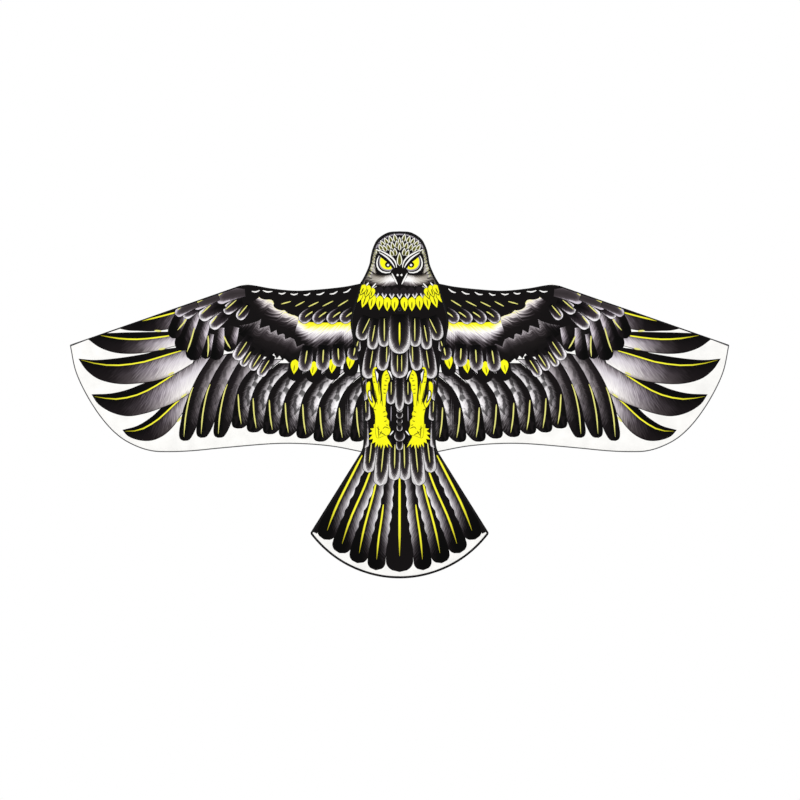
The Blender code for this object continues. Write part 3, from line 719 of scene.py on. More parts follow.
@dataclass(frozen=True)
class Vane:
    """A printed feather with its own upper and lower edge, from the tip to the root."""

    upper: tuple[Point, ...]
    lower: tuple[Point, ...]
    shaft: tuple[Point, ...]
    ink: Ink
    shaft_ink: Ink = Ink.SHAFT
    rim_width: float = 1.4
    shaft_width: float = 3.4
    beyond: float = 3.0  # how far the gradient's line goes on past the root, in steps of the shaft's line

    def patches(self) -> list[Patch]:
        """Gives the rim, the vane and the shaft, in the order in which they are laid down."""
        outline = [*smooth(self.upper, 4), *smooth(self.lower, 4)[::-1][1:-1]]
        shaft = smooth(self.shaft, 4)[::-1]
        (x, z), (next_x, next_z) = shaft[0], shaft[2]
        quill = ((x + self.beyond * (x - next_x), z + self.beyond * (z - next_z)), *shaft)
        return [Patch(outline, Ink.BLACK, quill),
                Patch(inset(outline, self.rim_width), self.ink, quill),
                sliver(shaft, self.shaft_width, self.shaft_ink, pointed=True)]


def blob(centre: Point, wide: float, high: float, ink: Ink, turn: float = 0.0, steps: int = 20) -> Patch:
    """Draws an oval.

    Args:
        centre: its middle.
        wide: its half width.
        high: its half height.
        ink: its ink.
        turn: how far it is turned, in degrees.
        steps: how many points it has.

    Returns:
        The oval.
    """
    cosine, sine = math.cos(math.radians(turn)), math.sin(math.radians(turn))
    outline = []
    for i in range(steps):
        angle = 2 * math.pi * i / steps
        u, v = wide * math.cos(angle), high * math.sin(angle)
        outline.append((centre[0] + u * cosine - v * sine, centre[1] + u * sine + v * cosine))
    x, z = centre
    return Patch(outline, ink, ((x, z + high), (x, z - high)))


def shape(ink: Ink, *knots: Point, steps: int = 4) -> Patch:
    """Draws a closed smooth shape through its knots, or a straight-sided one where steps is 1."""
    return Patch(smooth(knots, steps, closed=True) if steps > 1 else knots, ink)


def leading_edge_z(x: float) -> float:
    """Gives the height of the sail's leading edge at a distance from the spine."""
    curve = np.array([*smooth(LEADING_EDGE, 6), WING_TIP])
    return float(np.interp(x, curve[:, 0], curve[:, 1]))


def band(ink: Ink, near: tuple, far: tuple, steps: int = 4) -> Patch:
    """Draws a band whose gradient runs from one edge to the other.

    Args:
        ink: its ink.
        near: the edge where the gradient starts.
        far: the edge where it ends, in the same direction.
        steps: how smooth its edges are.

    Returns:
        The band.
    """
    first = smooth(near, steps) if steps > 1 else list(near)
    second = smooth(far, 4)
    return Patch([*first, *second[::-1]], ink, tuple(smooth(near, 4)), tuple(second))


def zigzag(line: tuple, teeth: int, depth: float) -> tuple[Point, ...]:
    """Makes a jagged edge along a line.

    Args:
        line: where the teeth stand.
        teeth: how many.
        depth: how far each one reaches, to the line's left where it is positive.

    Returns:
        The jagged line.
    """
    points = resample(smooth(line, 5), 2 * teeth + 1)
    side = normals_of(points, closed=False)
    reach = np.where(np.arange(len(points)) % 2, depth, 0.0)
    lean = np.where(np.arange(len(points)) % 2, 0.35 * depth, 0.0)
    run = np.column_stack([side[:, 1], -side[:, 0]])
    return tuple(map(tuple, points + side * reach[:, None] + run * lean[:, None]))


def leaf(root: Point, tip: Point, half_width: float, inks: tuple[Ink, ...], step: float = 1.3) -> list[Patch]:
    """Draws a pointed leaf-shaped feather as shapes inside each other.

    Args:
        root: its upper end.
        tip: its pointed end.
        half_width: half of its greatest width.
        inks: the ink of each shape, outermost first.
        step: how much narrower each shape is on each side.

    Returns:
        The shapes.
    """
    start, end = np.array(root, float), np.array(tip, float)
    run = end - start
    length = float(np.linalg.norm(run))
    run /= length
    side = np.array([-run[1], run[0]])
    found = []
    for level, ink in enumerate(inks):
        width = half_width - level * step
        low, high = level * step * 0.6, length - level * step * 2.4
        if width <= 0.4 or high - low < 2:
            break
        along = np.linspace(0, 1, 9)
        half = width * np.sin(np.pi * along ** 0.68) ** 0.9
        line = start + run * (low + (high - low) * along)[:, None]
        outline = [*map(tuple, line + side * half[:, None]), *map(tuple,
                                                                  (line - side * half[:, None])[::-1][1:-1])]
        found.append(Patch(outline, ink, (tuple(start), tuple(end))))
    return found


# The prints --------------------


@dataclass
class WingPrint:
    """The print of the right wing; the left one is its mirror image."""

    secondary_tips: tuple = ((368.6, -247), (334.6, -256), (298, -260), (261.6, -266.5), (222, -270),
                             (183, -277), (139, -278), (99.8, -277))
    long_tips: tuple = ((491, -275), (452, -268), (413, -268))
    line_width: float = 2.6

    def patches(self) -> list[Patch]:
        """Gives every printed shape of the wing, the lowest first."""
        return [*self.edge_line(), *self.primaries(), *self.long_feathers(), *self.secondaries(),
                *self.upper_ground(), *self.glow(), *self.outer_coverts(), *self.inner_coverts(),
                *self.wrist(), *self.leading_coverts(), *self.band_dashes()]

    def edge_line(self) -> list[Patch]:
        """Draws the thin grey line round the tip and along the trailing edge, and the black leading edge."""
        rear = smooth(TRAILING_EDGE, 6)
        inner = [tuple(p) for p in np.array(rear) + normals_of(np.array(rear), closed=False) * -1.9]
        front = [(x, leading_edge_z(x)) for x in np.linspace(84, 705, 60)]
        taper = np.interp(np.linspace(84, 705, 60), [84, 620, 705], [self.line_width, self.line_width, 1.5])
        below = [(x, z - t) for (x, z), t in zip(front, taper)]
        tip = [(700, leading_edge_z(700)), WING_TIP, (747, -60), (700, leading_edge_z(700) - 1.9)]
        return [Patch([*rear, *inner[::-1]], Ink.EDGE_GREY), Patch(tip, Ink.EDGE_GREY),
                Patch([*front, *below[::-1]], Ink.BLACK)]

    def primaries(self) -> list[Patch]:
        """Draws the five fingers of the wing tip."""
        fingers = (
            Vane(((630, -250), (595, -240), (562, -219), (538, -197), (510, -182), (489, -165), (470, -150),
                  (438, -126)),
                 ((630, -250), (616, -265), (590, -274), (562, -274), (535, -262), (512, -240), (490, -208),
                  (465, -178), (442, -150)),
                 ((623, -253), (590, -250), (551, -228), (518, -198), (486, -168)), Ink.PRIMARY),
            Vane(((700, -169), (656, -167), (617, -158), (579, -143), (540, -131), (500, -112), (455, -85),
                  (420, -62)),
                 ((700, -169), (684, -192), (653, -211), (617, -219), (579, -213), (543, -201), (508, -187),
                  (466, -160), (430, -130)),
                 ((693, -174), (645, -180), (595, -170), (554, -150), (510, -122)), Ink.PRIMARY),
            Vane(((730, -88), (689, -91), (634, -86), (579, -77), (544, -68), (500, -62), (455, -55)),
                 ((730, -88), (711, -115), (681, -136), (634, -146), (579, -143), (543, -136), (508, -122),
                  (455, -90)),
                 ((723, -91), (681, -101), (634, -103), (579, -95), (540, -83), (496, -70)), Ink.PRIMARY),
            Vane(((708, -44), (681, -32), (640, -29), (600, -28), (551, -27), (500, -26), (455, -20)),
                 ((708, -44), (681, -63), (645, -75), (601, -77), (551, -71), (518, -62), (460, -48)),
                 ((681, -35), (639, -42), (595, -44), (551, -40), (511, -34)), Ink.PRIMARY),
            Vane(((640, -19), (606, -8), (575, 2), (540, 14), (500, 28), (460, 42)),
                 ((640, -19), (617, -24), (593, -25), (565, -26), (535, -23), (505, -16), (460, 0)),
                 ((595, -4), (551, 6), (505, 18)), Ink.PRIMARY))
        found = []
        for finger in fingers:
            found += finger.patches()
        # The yellow blush in the notch by each root.
        for x, z, turn in ((549, -25, 5), (540, -66, -10), (519, -122, -25), (490, -172, -35),
                           (500, -226, -50)):
            found.append(blob((x, z), 8, 2.2, Ink.PALE, turn, 12))
        return found

    def swept_feather(self, tip: Point, right: tuple, left: tuple, middle: tuple, shaft: tuple,
                      ink: Ink) -> list[Patch]:
        """Draws one flight feather from its outline about its tip.

        Args:
            tip: the lowest point.
            right: its outer edge, from tip to root, measured from the tip.
            left: its inner edge, likewise.
            middle: the line that its gradient follows, from root to tip, likewise.
            shaft: the shaft's line, from root to tip, measured from the tip.
            ink: its vane's ink.

        Returns:
            Its edge, vane and shaft.
        """
        x, z = tip
        outline = [(x + u, z + v) for u, v in (*smooth(right, 3), *smooth(left, 3)[::-1])]
        quill = tuple((x + u, z + v) for u, v in smooth(middle, 3))
        line = [(x + u, z + v) for u, v in smooth(shaft, 3)]
        return [Patch(outline, Ink.BLACK, quill), Patch(inset(outline, 1.9), ink, quill),
                sliver(line, 3.0, Ink.PALE, pointed=True)]

    def long_feathers(self) -> list[Patch]:
        """Draws the three long feathers between the fingers and the rest."""
        right = ((0, 0), (8, 5), (10, 20), (5, 50), (-2, 79), (-18, 118), (-35, 152), (-60, 190))
        left = ((0, 0), (-14, 3), (-27, 25), (-38, 56), (-49, 87), (-66, 125), (-90, 171), (-110, 200))
        middle = ((-84, 196), (-60, 165), (-40, 122), (-26, 85), (-14, 45), (-4, 3))
        shaft = ((-22, 122), (-14, 100), (-5, 55), (-1, 9))
        found = []
        for tip in self.long_tips:
            found += self.swept_feather(tip, right, left, middle, shaft, Ink.LONG)
        return found

    def secondaries(self) -> list[Patch]:
        """Draws the eight feathers of the trailing edge, from the outermost in, each lying over the last."""
        right = ((0, 0), (9, 3), (13, 13), (10, 36), (6, 62), (-1, 90), (-11, 110), (-28, 131), (-60, 158))
        left = ((0, 0), (-14, 2), (-29, 16), (-37, 34), (-42, 60), (-47, 85), (-58, 112), (-80, 138),
                (-104, 158))
        middle = ((-84, 160), (-54, 135), (-33, 111), (-21, 88), (-15, 60), (-11, 34), (-5, 3))
        shaft = ((-2, 78), (-4, 42), (-9, 10))
        found = []
        for tip in self.secondary_tips:
            found += self.swept_feather(tip, right, left, middle, shaft, Ink.SECONDARY)
        return found

    def upper_ground(self) -> list[Patch]:
        """Draws the black ground that the coverts lie on, with its torn lower edge."""
        front = [(x, leading_edge_z(x) - 2) for x in np.linspace(84, 506, 40)]
        torn = zigzag(((292, -84), (262, -94), (240, -102)), 4, -9)
        below = [(508, 12), (512, -10), (500, -40), (475, -60), (440, -66), (400, -60), (372, -70),
                 (345, -78), (315, -84), *torn, (228, -110), (200, -112), (160, -106), (120, -96), (84, -90)]
        return [Patch([*front, *below], Ink.BLACK)]

    def glow(self) -> list[Patch]:
        """Draws the yellow and white glow of the inner wing, and the soft torn fur beyond it."""
        teeth = ((214.8, -52.6), (233.9, -61.7), (236, -52), (237.5, -49), (242, -37.2), (260.1, -44.4),
                 (261.9, -29.9), (277.3, -35.4), (280.1, -22.7), (292.7, -29.9), (296.4, -12.7), (319, -20),
                 (314.5, 1.8), (321.7, -2.8), (340.8, -9.1), (362.5, -12.7))
        torn = band(Ink.TEETH, teeth, ((226, -84), (246, -98), (262, -88), (288, -74), (318, -62), (345, -46),
                                       (368, -30)), 1)
        fur = band(Ink.SOFT_FUR,
                   ((206, 2), (222, 3), (232, 7), (243, 12), (254, 15), (262, 22), (272, 23), (283, 32),
                    (289, 44), (300, 47), (318, 52)),
                   ((206, -58), (220, -54), (240, -44), (262, -33), (282, -22), (300, -10), (318, 4),
                    (332, 20), (342, 36)))
        blaze = band(Ink.GLOW,
                     ((106, -2), (124, -4), (152, -6), (183, -6), (210, -4), (228, 3)),
                     ((106, -62), (120, -68), (135, -50), (153, -70), (170, -58), (187, -72), (212, -58),
                      (240, -34)))
        scallops = [blob(place, wide, high, Ink.BLACK, turn) for place, wide, high, turn in
                    (((270, 31), 17, 9, 12), ((240, 18), 14, 7.5, 12), ((304, 51), 14, 5, 4),
                     ((330, 55), 14, 5, 0))]
        return [torn, fur, blaze, *scallops]

    def outer_coverts(self) -> list[Patch]:
        """Draws the oval coverts below the wrist."""
        found = []
        for quill, half in ((((288, -80), (304, -104), (319, -129)), 12),
                            (((308, -68), (324, -92), (338, -115)), 11),
                            (((330, -62), (346, -84), (359, -106)), 10),
                            (((338, -36), (356, -64), (374, -91)), 14)):
            found += Feather(quill, half, Ink.COVERT, root=0.6, shaft=Ink.PALE, shaft_from=0.25).patches()
        return found

    def inner_coverts(self) -> list[Patch]:
        """Draws the yellow-hearted scallops of the inner wing and the grey coverts over them."""
        found = []
        for tip in ((114, -128), (154.6, -137), (198, -143), (240.5, -139)):
            root = (tip[0] - 9, tip[1] + 60)
            found += Feather((root, tip), 17, Ink.BLACK, root=0.9).patches()
            found += leaf((tip[0] - 4, tip[1] + 50), (tip[0], tip[1] + 13), 10.5,
                          (Ink.BLACK, Ink.YELLOW), 1.2)
            found.append(sliver([(tip[0] - 2, tip[1] + 36), (tip[0], tip[1] + 22)], 2.0, Ink.OLIVE))
        for quill in (((100, -56), (103, -74), (107, -92)), ((140, -54), (139, -80), (137, -107)),
                      ((172, -56), (174, -86), (175, -116)), ((208, -58), (213, -88), (217, -118))):
            found += Feather(quill, 16, Ink.UNDER_COVERT, root=0.8, rim=Ink.UNDER_COVERT, rim_width=0.9,
                             shaft=Ink.PALE, shaft_from=0.2, shaft_to=0.72, shaft_width=2.8).patches()[1:]
        for x, z in ((214, 7), (183, 6), (151, 6), (121, 7)):
            found += Feather(((x - 18, z + 13), (x - 2, z + 2), (x + 11, z - 13)), 14, Ink.COVERT, root=0.9,
                             shaft=Ink.PALE, shaft_from=0.05, shaft_to=0.62, shaft_width=2.6).patches()
        return found

    def wrist(self) -> list[Patch]:
        """Draws the big soft feathers below the wrist."""
        found = []
        for quill, half in ((((376, -14), (385, -45), (390, -73)), 17),
                            (((411, -16), (415, -55), (419, -92)), 18),
                            (((430, -30), (438, -60), (441, -89)), 13),
                            (((441, 4), (458, -45), (474, -92)), 19),
                            (((462, 24), (482, -22), (500, -70)), 18),
                            (((478, 30), (500, 0), (517, -42)), 16)):
            found += Feather(quill, half, Ink.WRIST, root=0.75, blunt=1.2).patches()
        for line in (((399, -37), (392, -52), (384, -65)), ((435, -36), (434, -62), (436, -84)),
                     ((466, -18), (474, -48), (483, -73)), ((478, 14), (490, -6), (505, -24))):
            found.append(sliver(smooth(line, 3), 3.2, Ink.PALE, pointed=True))
        return found

    def leading_coverts(self) -> list[Patch]:
        """Draws the rows of small coverts behind the leading edge."""
        found = []
        rows = ((Ink.COVERT, 12, ((342, 36), (353, 20), (368, 1)), ((346, 33), (366, 9))),
                (Ink.COVERT, 14, ((380, 24), (403, 6), (430, -19)), ((415, 9), (429, -9))),
                (Ink.COVERT, 13, ((356, 42), (377, 33), (399, 16)), ((371, 45), (395, 24))),
                (Ink.COVERT, 15, ((398, 36), (427, 22), (455, 2)), ((429, 34), (450, 14))),
                (Ink.COVERT, 12, ((446, 34), (470, 22), (492, 6)), ((467, 27), (486, 14))),
                (Ink.DARK_COVERT, 15, ((350, 62), (384, 58), (418, 44)), ((380, 72.5), (398, 66), (412, 54))),
                (Ink.DARK_COVERT, 12, ((410, 52), (440, 42), (470, 29)), ((445, 47), (466, 37))),
                (Ink.DARK_COVERT, 11, ((458, 36), (485, 26), (510, 11)), ((492, 34), (504, 23))))
        for ink, half, quill, line in rows:
            found += Feather(quill, half, ink, root=0.6).patches()
            found.append(sliver(line, 2.6, Ink.PALE))
        return found

    def band_dashes(self) -> list[Patch]:
        """Draws the white and yellow flecks of the inner leading edge."""
        found = []
        for x0, z0, x1, z1 in ((336, 65, 318, 67), (311, 67, 289, 65), (275, 61, 259, 62),
                               (248, 59.5, 231, 60), (218, 57, 203, 61), (189, 58, 171, 63),
                               (159, 59, 141, 65), (128, 62, 111, 71)):
            dip = ((x0 + x1) / 2, (z0 + z1) / 2 - 2.4)
            found.append(sliver(smooth(((x0, z0), dip, (x1, z1)), 3), 3.0, Ink.WHITE))
        for x0, z0, x1, z1 in ((269, 36, 247, 42), (237, 31, 216, 42), (207, 30, 184, 41), (175, 31, 151, 43),
                               (140, 31, 117, 45)):
            found.append(sliver([(x0, z0), (x1, z1)], 2.6, Ink.PALE))
        return found


@dataclass
class BodyPrint:
    """The print of head, body and tail. Each shape off the spine line is drawn on both sides."""

    def patches(self) -> list[Patch]:
        """Gives every printed shape of the body panel, the lowest first."""
        found = []
        for part in (self.ground, self.tail, self.tail_coverts, self.flanks, self.spine_scales,
                     self.second_row, self.chest, self.feet, self.throat, self.collar, self.crown, self.eyes,
                     self.beak):
            found += part()
        return found

    def both(self, patches: list[Patch]) -> list[Patch]:
        """Gives shapes and their mirror images."""
        return [*patches, *(p.mirrored() for p in patches)]

    def row(self, feathers: tuple, streak: float = 2.4, **look: float | Ink) -> list[Patch]:
        """Draws a row of rimmed feathers and its mirror image.

        Args:
            feathers: for each, its quill, its half width and, where it has one, its pale streak's line.
            streak: the streaks' width in mm.
            look: the feathers' other fields.

        Returns:
            The row's shapes.
        """
        found = []
        for quill, half, *lines in feathers:
            found += self.both([*Feather(quill, half, Ink.CHEST, **look).patches(),
                                *(sliver(line, streak, Ink.PALE) for line in lines)])
        return found

    def ground(self) -> list[Patch]:
        """Draws the black ground of head and body."""
        half = [*smooth((*HEAD, BODY_SIDE[0]), 4)[:-1], *smooth(BODY_SIDE, 4), (108, -334), (60, -400),
                (0, -420)]
        return [Patch([*half, *((-x, z) for x, z in half[-2:0:-1])], Ink.BLACK)]

    def tail(self) -> list[Patch]:
        """Draws the nine tail feathers, the middle one lowest."""
        found = Feather(((0, -330), (0, -450), (0, -573)), 31, Ink.BLACK, root=0.3, blunt=0.8,
                        shaft=Ink.SHAFT, shaft_from=0.1, shaft_to=0.85, shaft_width=5.4).patches()
        feathers = ((((26, -320), (38, -430), (48, -500), (54, -569)), 20.5, 0.42, 4),
                    (((44, -320), (58, -390), (81, -475), (96, -553)), 21.5, 0.18, 4.4),
                    (((58, -320), (80, -380), (113, -455), (137, -530)), 22, 0.08, 4.6),
                    (((80, -298), (104, -345), (144, -425), (172, -499)), 22, 0.05, 4.8))
        for quill, half, start, width in feathers:
            found += self.both(Feather(quill, half, Ink.TAIL, root=0.7, blunt=0.9, shaft=Ink.SHAFT,
                                       shaft_from=start, shaft_to=0.9, shaft_width=width, wavy=3.0).patches())
        edge = shape(Ink.BLACK, (88, -300), (196, -482), (188, -486), (78, -306), steps=1)
        return [*self.both([edge]), *found]

    def tail_coverts(self) -> list[Patch]:
        """Draws the rounded coverts over the tail's root."""
        return self.row(((((62, -262), (66, -300), (72, -348)), 14),
                         (((34, -262), (39, -318), (45, -378)), 16.5),
                         (((10, -262), (11, -310), (12, -366)), 14)),
                        root=0.75, shaft=Ink.PALE, shaft_from=0.2, shaft_to=0.74, shaft_width=2.4)

    def flanks(self) -> list[Patch]:
        """Draws the dark side feathers beside the feet."""
        return self.row(((((80, -215), (80, -250), (78, -292)), 10),
                         (((76, -165), (77, -195), (74, -230)), 10),
                         (((82, -110), (84, -145), (79, -184)), 10)),
                        root=0.8, shaft=Ink.PALE, shaft_from=0.3, shaft_to=0.7, shaft_width=1.6)

    def spine_scales(self) -> list[Patch]:
        """Draws the chain of rimmed scales down the spine, and the dark shafts beside it."""
        found = []
        for top, tip, half in ((-268, -297, 9), (-250, -277, 13), (-234, -254, 7.5), (-222, -238, 8),
                               (-206, -225, 8.5), (-190, -211, 8)):
            found += Feather(((0, top), (0, tip)), half, Ink.CHEST, root=0.6).patches()
        found += self.both([sliver([(19, -196), (19.5, -230)], 2.0, Ink.LILAC),
                            sliver([(14, -252), (22, -262)], 3.0, Ink.WHITE)])
        found += self.both(Feather(((19, -128), (19, -160), (20, -193)), 11, Ink.CHEST, root=0.8,
                                   shaft=Ink.PALE, shaft_from=0.2, shaft_to=0.66, shaft_width=1.8).patches())
        found += Feather(((0, -120), (0, -165), (0, -208)), 11, Ink.CHEST, root=0.9, blunt=1.8).patches()
        return found

    def second_row(self) -> list[Patch]:
        """Draws the belly feathers that hang below the chest."""
        found = self.row(((((96, -40), (98, -56), (94, -73)), 9, ((94, -48), (98, -62))),
                          (((58, -50), (67, -92), (73, -134)), 16, ((61, -70), (67, -110))),
                          (((32, -40), (36, -80), (41, -116)), 14, ((29, -60), (30, -96)))),
                         streak=2.2, root=0.85, wavy=0.9)
        found += Feather(((0, -60), (0, -100), (0, -133)), 20, Ink.CHEST, root=0.95, wavy=0.9).patches()
        found += self.both([sliver([(4.8, -80), (4.8, -117)], 2.0, Ink.PALE)])
        return found

    def chest(self) -> list[Patch]:
        """Draws the chest's long rounded feathers."""
        found = self.row(((((74, 10), (82, -16), (87, -47)), 16, ((68, 3), (84, -30))),
                          (((52, 4), (60, -32), (62, -68)), 13, ((56, -12), (62.5, -49))),
                          (((36, 8), (36, -26), (35, -62)), 14.5, ((34.6, 3), (34.6, -48)))),
                         root=0.7, wavy=0.9)
        found += Feather(((0, 14), (0, -34), (0, -78)), 25, Ink.CHEST, root=0.85, wavy=0.9).patches()
        found.append(sliver([(0, -6), (0, -58)], 3.8, Ink.SHAFT, pointed=True))
        return found

    def feet(self) -> list[Patch]:
        """Draws the yellow feet, with their toes up, black claws and spiky cuffs."""
        spikes = ((57, -236), (58.7, -238), (58.1, -245.9), (67.3, -247.2), (61.3, -252.4), (70.4, -259.7),
                  (61.3, -260.7), (70.4, -272), (60.2, -270.1), (62.6, -281.1), (54.7, -277.2),
                  (55.5, -290.2), (49.5, -281.1), (47.7, -289.4), (44.3, -282.4), (42.5, -292.5),
                  (38.3, -282.4), (34.6, -292.5), (32.6, -283.2), (26.3, -290.2), (27.3, -280.6),
                  (16.4, -290.2), (22.6, -276.2), (28, -268), (30, -255))
        bracket = sliver(smooth(((78, -137), (84, -145), (83, -166), (78, -181)), 3), 4.0, Ink.LILAC)
        outer = shape(Ink.YELLOW, (66, -143), (70, -139.5), (76, -146), (76, -163), (71, -181), (66, -193),
                      (60, -200), (54, -194), (60, -176), (66, -160))
        leg = shape(Ink.YELLOW, (32, -196), (45, -190), (59, -197), (56, -219), (56, -242), (52, -268),
                    (36, -264), (24, -261), (20, -250), (23.4, -240), (23.4, -229), (29, -221), (27.5, -213),
                    (31, -205))
        middle = shape(Ink.YELLOW, (51, -109), (57, -106.5), (62, -116), (62, -135), (58.8, -152), (55, -175),
                       (50, -192), (44, -191), (41.6, -180), (45, -152), (49, -132), (55, -118))
        inner = shape(Ink.YELLOW, (27, -113.5), (34, -116), (40, -128), (41.6, -150), (41, -172), (40, -194),
                      (32, -196), (30.5, -174), (26, -156), (25.5, -146), (21.5, -136), (24, -124))
        found = [bracket, Patch(spikes, Ink.YELLOW)]
        for toe in (outer, leg, middle, inner):
            found += [Patch(toe.outline, Ink.OLIVE), Patch(inset(toe.outline, 0.8), Ink.YELLOW)]
        for claw in (((56, -112), (51, -117), (47, -124), (49, -140), (51, -143), (54, -128)),
                     ((28, -114), (21, -116), (16.5, -126), (15.5, -137), (20, -131), (24.5, -122)),
                     ((66.5, -160), (71.5, -164), (70, -176), (61, -189), (63.5, -176))):
            outline = smooth(claw, 3, closed=True)
            found += [Patch(inset(outline, -0.9), Ink.BLACK), Patch(inset(outline, 1.3), Ink.WHITE)]
        creases = [((28, -139), (34, -138)), ((29, -149), (36, -148)), ((31, -158), (37, -157)),
                   ((31, -167), (37, -166)), ((32, -208), (38, -210)), ((30, -218), (36, -220)),
                   ((29, -229), (35, -231)), ((53, -205), (58, -203)), ((39, -196), (41, -160)),
                   ((50, -192), (56, -158)), ((40, -252), (46, -262)), ((45, -250), (52, -244)),
                   ((56, -130), (61, -129)), ((55, -142), (60, -141)), ((49, -140), (46, -170)),
                   ((32, -262), (46, -254)), ((27, -124), (33, -126)), ((24, -132), (31, -133)),
                   ((54, -120), (59, -118)), ((66, -176), (72, -174)), ((23, -247), (33, -243), (38, -248)),
                   ((47, -268), (49, -240)), ((58, -199), (54, -188), (50, -180)), ((26, -240), (31, -238)),
                   ((64, -150), (66, -168)), ((43, -150), (42, -178), (44, -190))]
        found += [sliver(smooth(line, 3), 2.0, Ink.OLIVE) for line in creases]
        leg_edge = shape(Ink.YELLOW, (34, -188), (45, -184), (55, -190), (54, -206), (44, -212), (35, -206))
        found.insert(-len(creases), leg_edge)
        return self.both(found)

    def throat(self) -> list[Patch]:
        """Draws the pale cheeks and the dark throat with its white fringe."""
        found = []
        side = band(Ink.FACE_FUR, ((63, 150), (65, 138), (67, 124), (72, 108), (79, 92), (84, 80)),
                    ((55, 150), (56, 134), (55, 118), (53, 104), (58, 92), (66, 80)))
        cheek = band(Ink.CHEEK, ((12, 104), (24, 106), (38, 102), (52, 104), (64, 112), (72, 116)),
                     ((3, 79), (14, 76), (30, 73), (46, 73), (62, 77), (80, 82)))
        found += self.both([side, cheek])
        for line in (((64, 140), (59, 136)), ((66, 132), (58, 127)), ((67, 122), (58, 118)),
                     ((70, 112), (62, 110)), ((73, 104), (64, 103)), ((77, 95), (67, 96)),
                     ((80, 88), (70, 90)), ((64, 148), (58, 144))):
            found += self.both([sliver(line, 2.0, Ink.BLACK)])
        for x in (0, 17.6, 34.5, 53):
            cone = leaf((x, 78), (x, 43.5 + abs(x) * 0.03), 9.6,
                        (Ink.BLACK, Ink.WHITE, Ink.LILAC, Ink.CHARCOAL), 1.4)
            found += cone if not x else self.both(cone)
        found += self.both([shape(Ink.BLACK, (-1, 79.5), (30, 76.5), (52, 77), (50, 68), (-1, 67), steps=1)])
        found += self.both([*leaf((9, 74), (8.8, 54), 7, (Ink.CHARCOAL,)),
                            *leaf((27, 75), (26, 54), 7, (Ink.CHARCOAL,)),
                            *leaf((45, 76), (43, 55), 7, (Ink.CHARCOAL,))])
        found += self.both([sliver([(53.5, 83.5), (63, 73)], 3, Ink.WHITE),
                            sliver([(70, 85), (76, 78)], 3, Ink.WHITE),
                            sliver([(62, 95), (70, 93)], 2, Ink.BLACK),
                            sliver([(60, 89), (71, 86)], 2, Ink.BLACK)])
        return found

    def collar(self) -> list[Patch]:
        """Draws the collar of yellow pointed feathers."""
        found = []
        inks = (Ink.BLACK, Ink.YELLOW)
        upper = (((60, 74), (67, 47)), ((69, 80), (78, 50)), ((78, 81), (90, 55)))
        lower = (((10, 53), (12.3, 17)), ((28, 53), (28, 17)), ((44, 56), (47, 19)), ((60, 60), (66.5, 20)),
                 ((73, 64), (86, 25)), ((88, 66), (101, 35)))
        for row, half in ((lower, 9.8), (upper, 8.2)):
            for root, tip in row:
                found += leaf(root, tip, half, inks, 1.2)
                third = tuple((2 * a + b) / 3 for a, b in zip(root, tip))
                near = tuple((a + 3 * b) / 4 for a, b in zip(root, tip))
                found.append(sliver([third, near], 2.6, Ink.OLIVE))
        return self.both(found)

    def crown(self) -> list[Patch]:
        """Draws the flame-shaped scales of the forehead, the line over them and the flecks of the temples."""
        inks = (Ink.BLACK, Ink.WHITE, Ink.SCALE, Ink.OLIVE)
        found = self.both([shape(Ink.LILAC, (-1, 196), (24, 192.5), (44, 180), (55, 163), (58, 146),
                                 (54, 158), (42, 177), (24, 189.5), (-1, 193.5))])
        pairs = (((13, 199), (8, 177)), ((25, 195), (17, 173)), ((36, 190), (26, 170)),
                 ((45, 184), (34, 165)), ((7, 184), (5, 162)), ((19, 181), (13, 159)), ((30, 177), (22, 157)),
                 ((39, 173), (30, 155)), ((49, 175), (39, 158)), ((12, 167), (9, 145)),
                 ((22, 163), (15, 144)), ((54, 164), (48, 150)))
        for top, root in pairs:
            found += self.both(leaf(root, top, 6.0, inks, 1.2))
        for top, root, half in (((0, 192), (0, 172), 5), ((0, 178), (0, 157), 5.5),
                                ((0, 158), (0, 122), 7.5)):
            found += leaf(root, top, half, inks, 1.3)
        for i in range(10):
            edge, z = 57 + 1.1 * i + 0.06 * i * i, 158 - 6.2 * i
            found += self.both([sliver([(edge, z + 2), (edge - 6, z - 4)], 2.6, Ink.SCALE),
                                sliver([(edge - 4, z + 1), (edge - 9, z - 5)], 2.0, Ink.LILAC)])
        return found

    def eyes(self) -> list[Patch]:
        """Draws the eyes under their slanting brows."""
        socket = shape(Ink.BLACK, (50, 152), (56, 136), (55, 118), (46, 104), (30, 101), (14, 106), (8, 118),
                       (14, 134), (28, 146))
        ring = sliver(smooth(((46, 146), (51.4, 133), (49, 118), (38.7, 109), (24.5, 107.5), (16, 112)), 4),
                      3.4, Ink.WHITE)
        rim = shape(Ink.LILAC, (42.5, 145), (47, 130), (41, 116.5), (28, 111.5), (15, 114.5), (19, 125),
                    (32, 136))
        iris = shape(Ink.YELLOW, (41.5, 142), (44.5, 130), (39, 119), (28, 114.5), (18, 116.5), (22, 126),
                     (32, 134))
        brow = shape(Ink.BLACK, (50, 157), (30, 145), (15, 131), (9, 118), (17, 118), (24, 128), (36, 137),
                     (48, 148))
        lids = [sliver(smooth(line, 4), 3.6, Ink.WHITE)
                for line in (((47.5, 159), (31, 151), (16.4, 141), (8.6, 130), (6.8, 119)),
                             ((46, 153), (34, 146), (24, 138), (15, 127), (11, 119)))]
        return self.both([socket, ring, rim, iris, blob((26.7, 125.4), 6.6, 6.6, Ink.BLACK), brow, *lids,
                          blob((26.2, 124.6), 2.7, 2.7, Ink.WHITE, steps=12)])

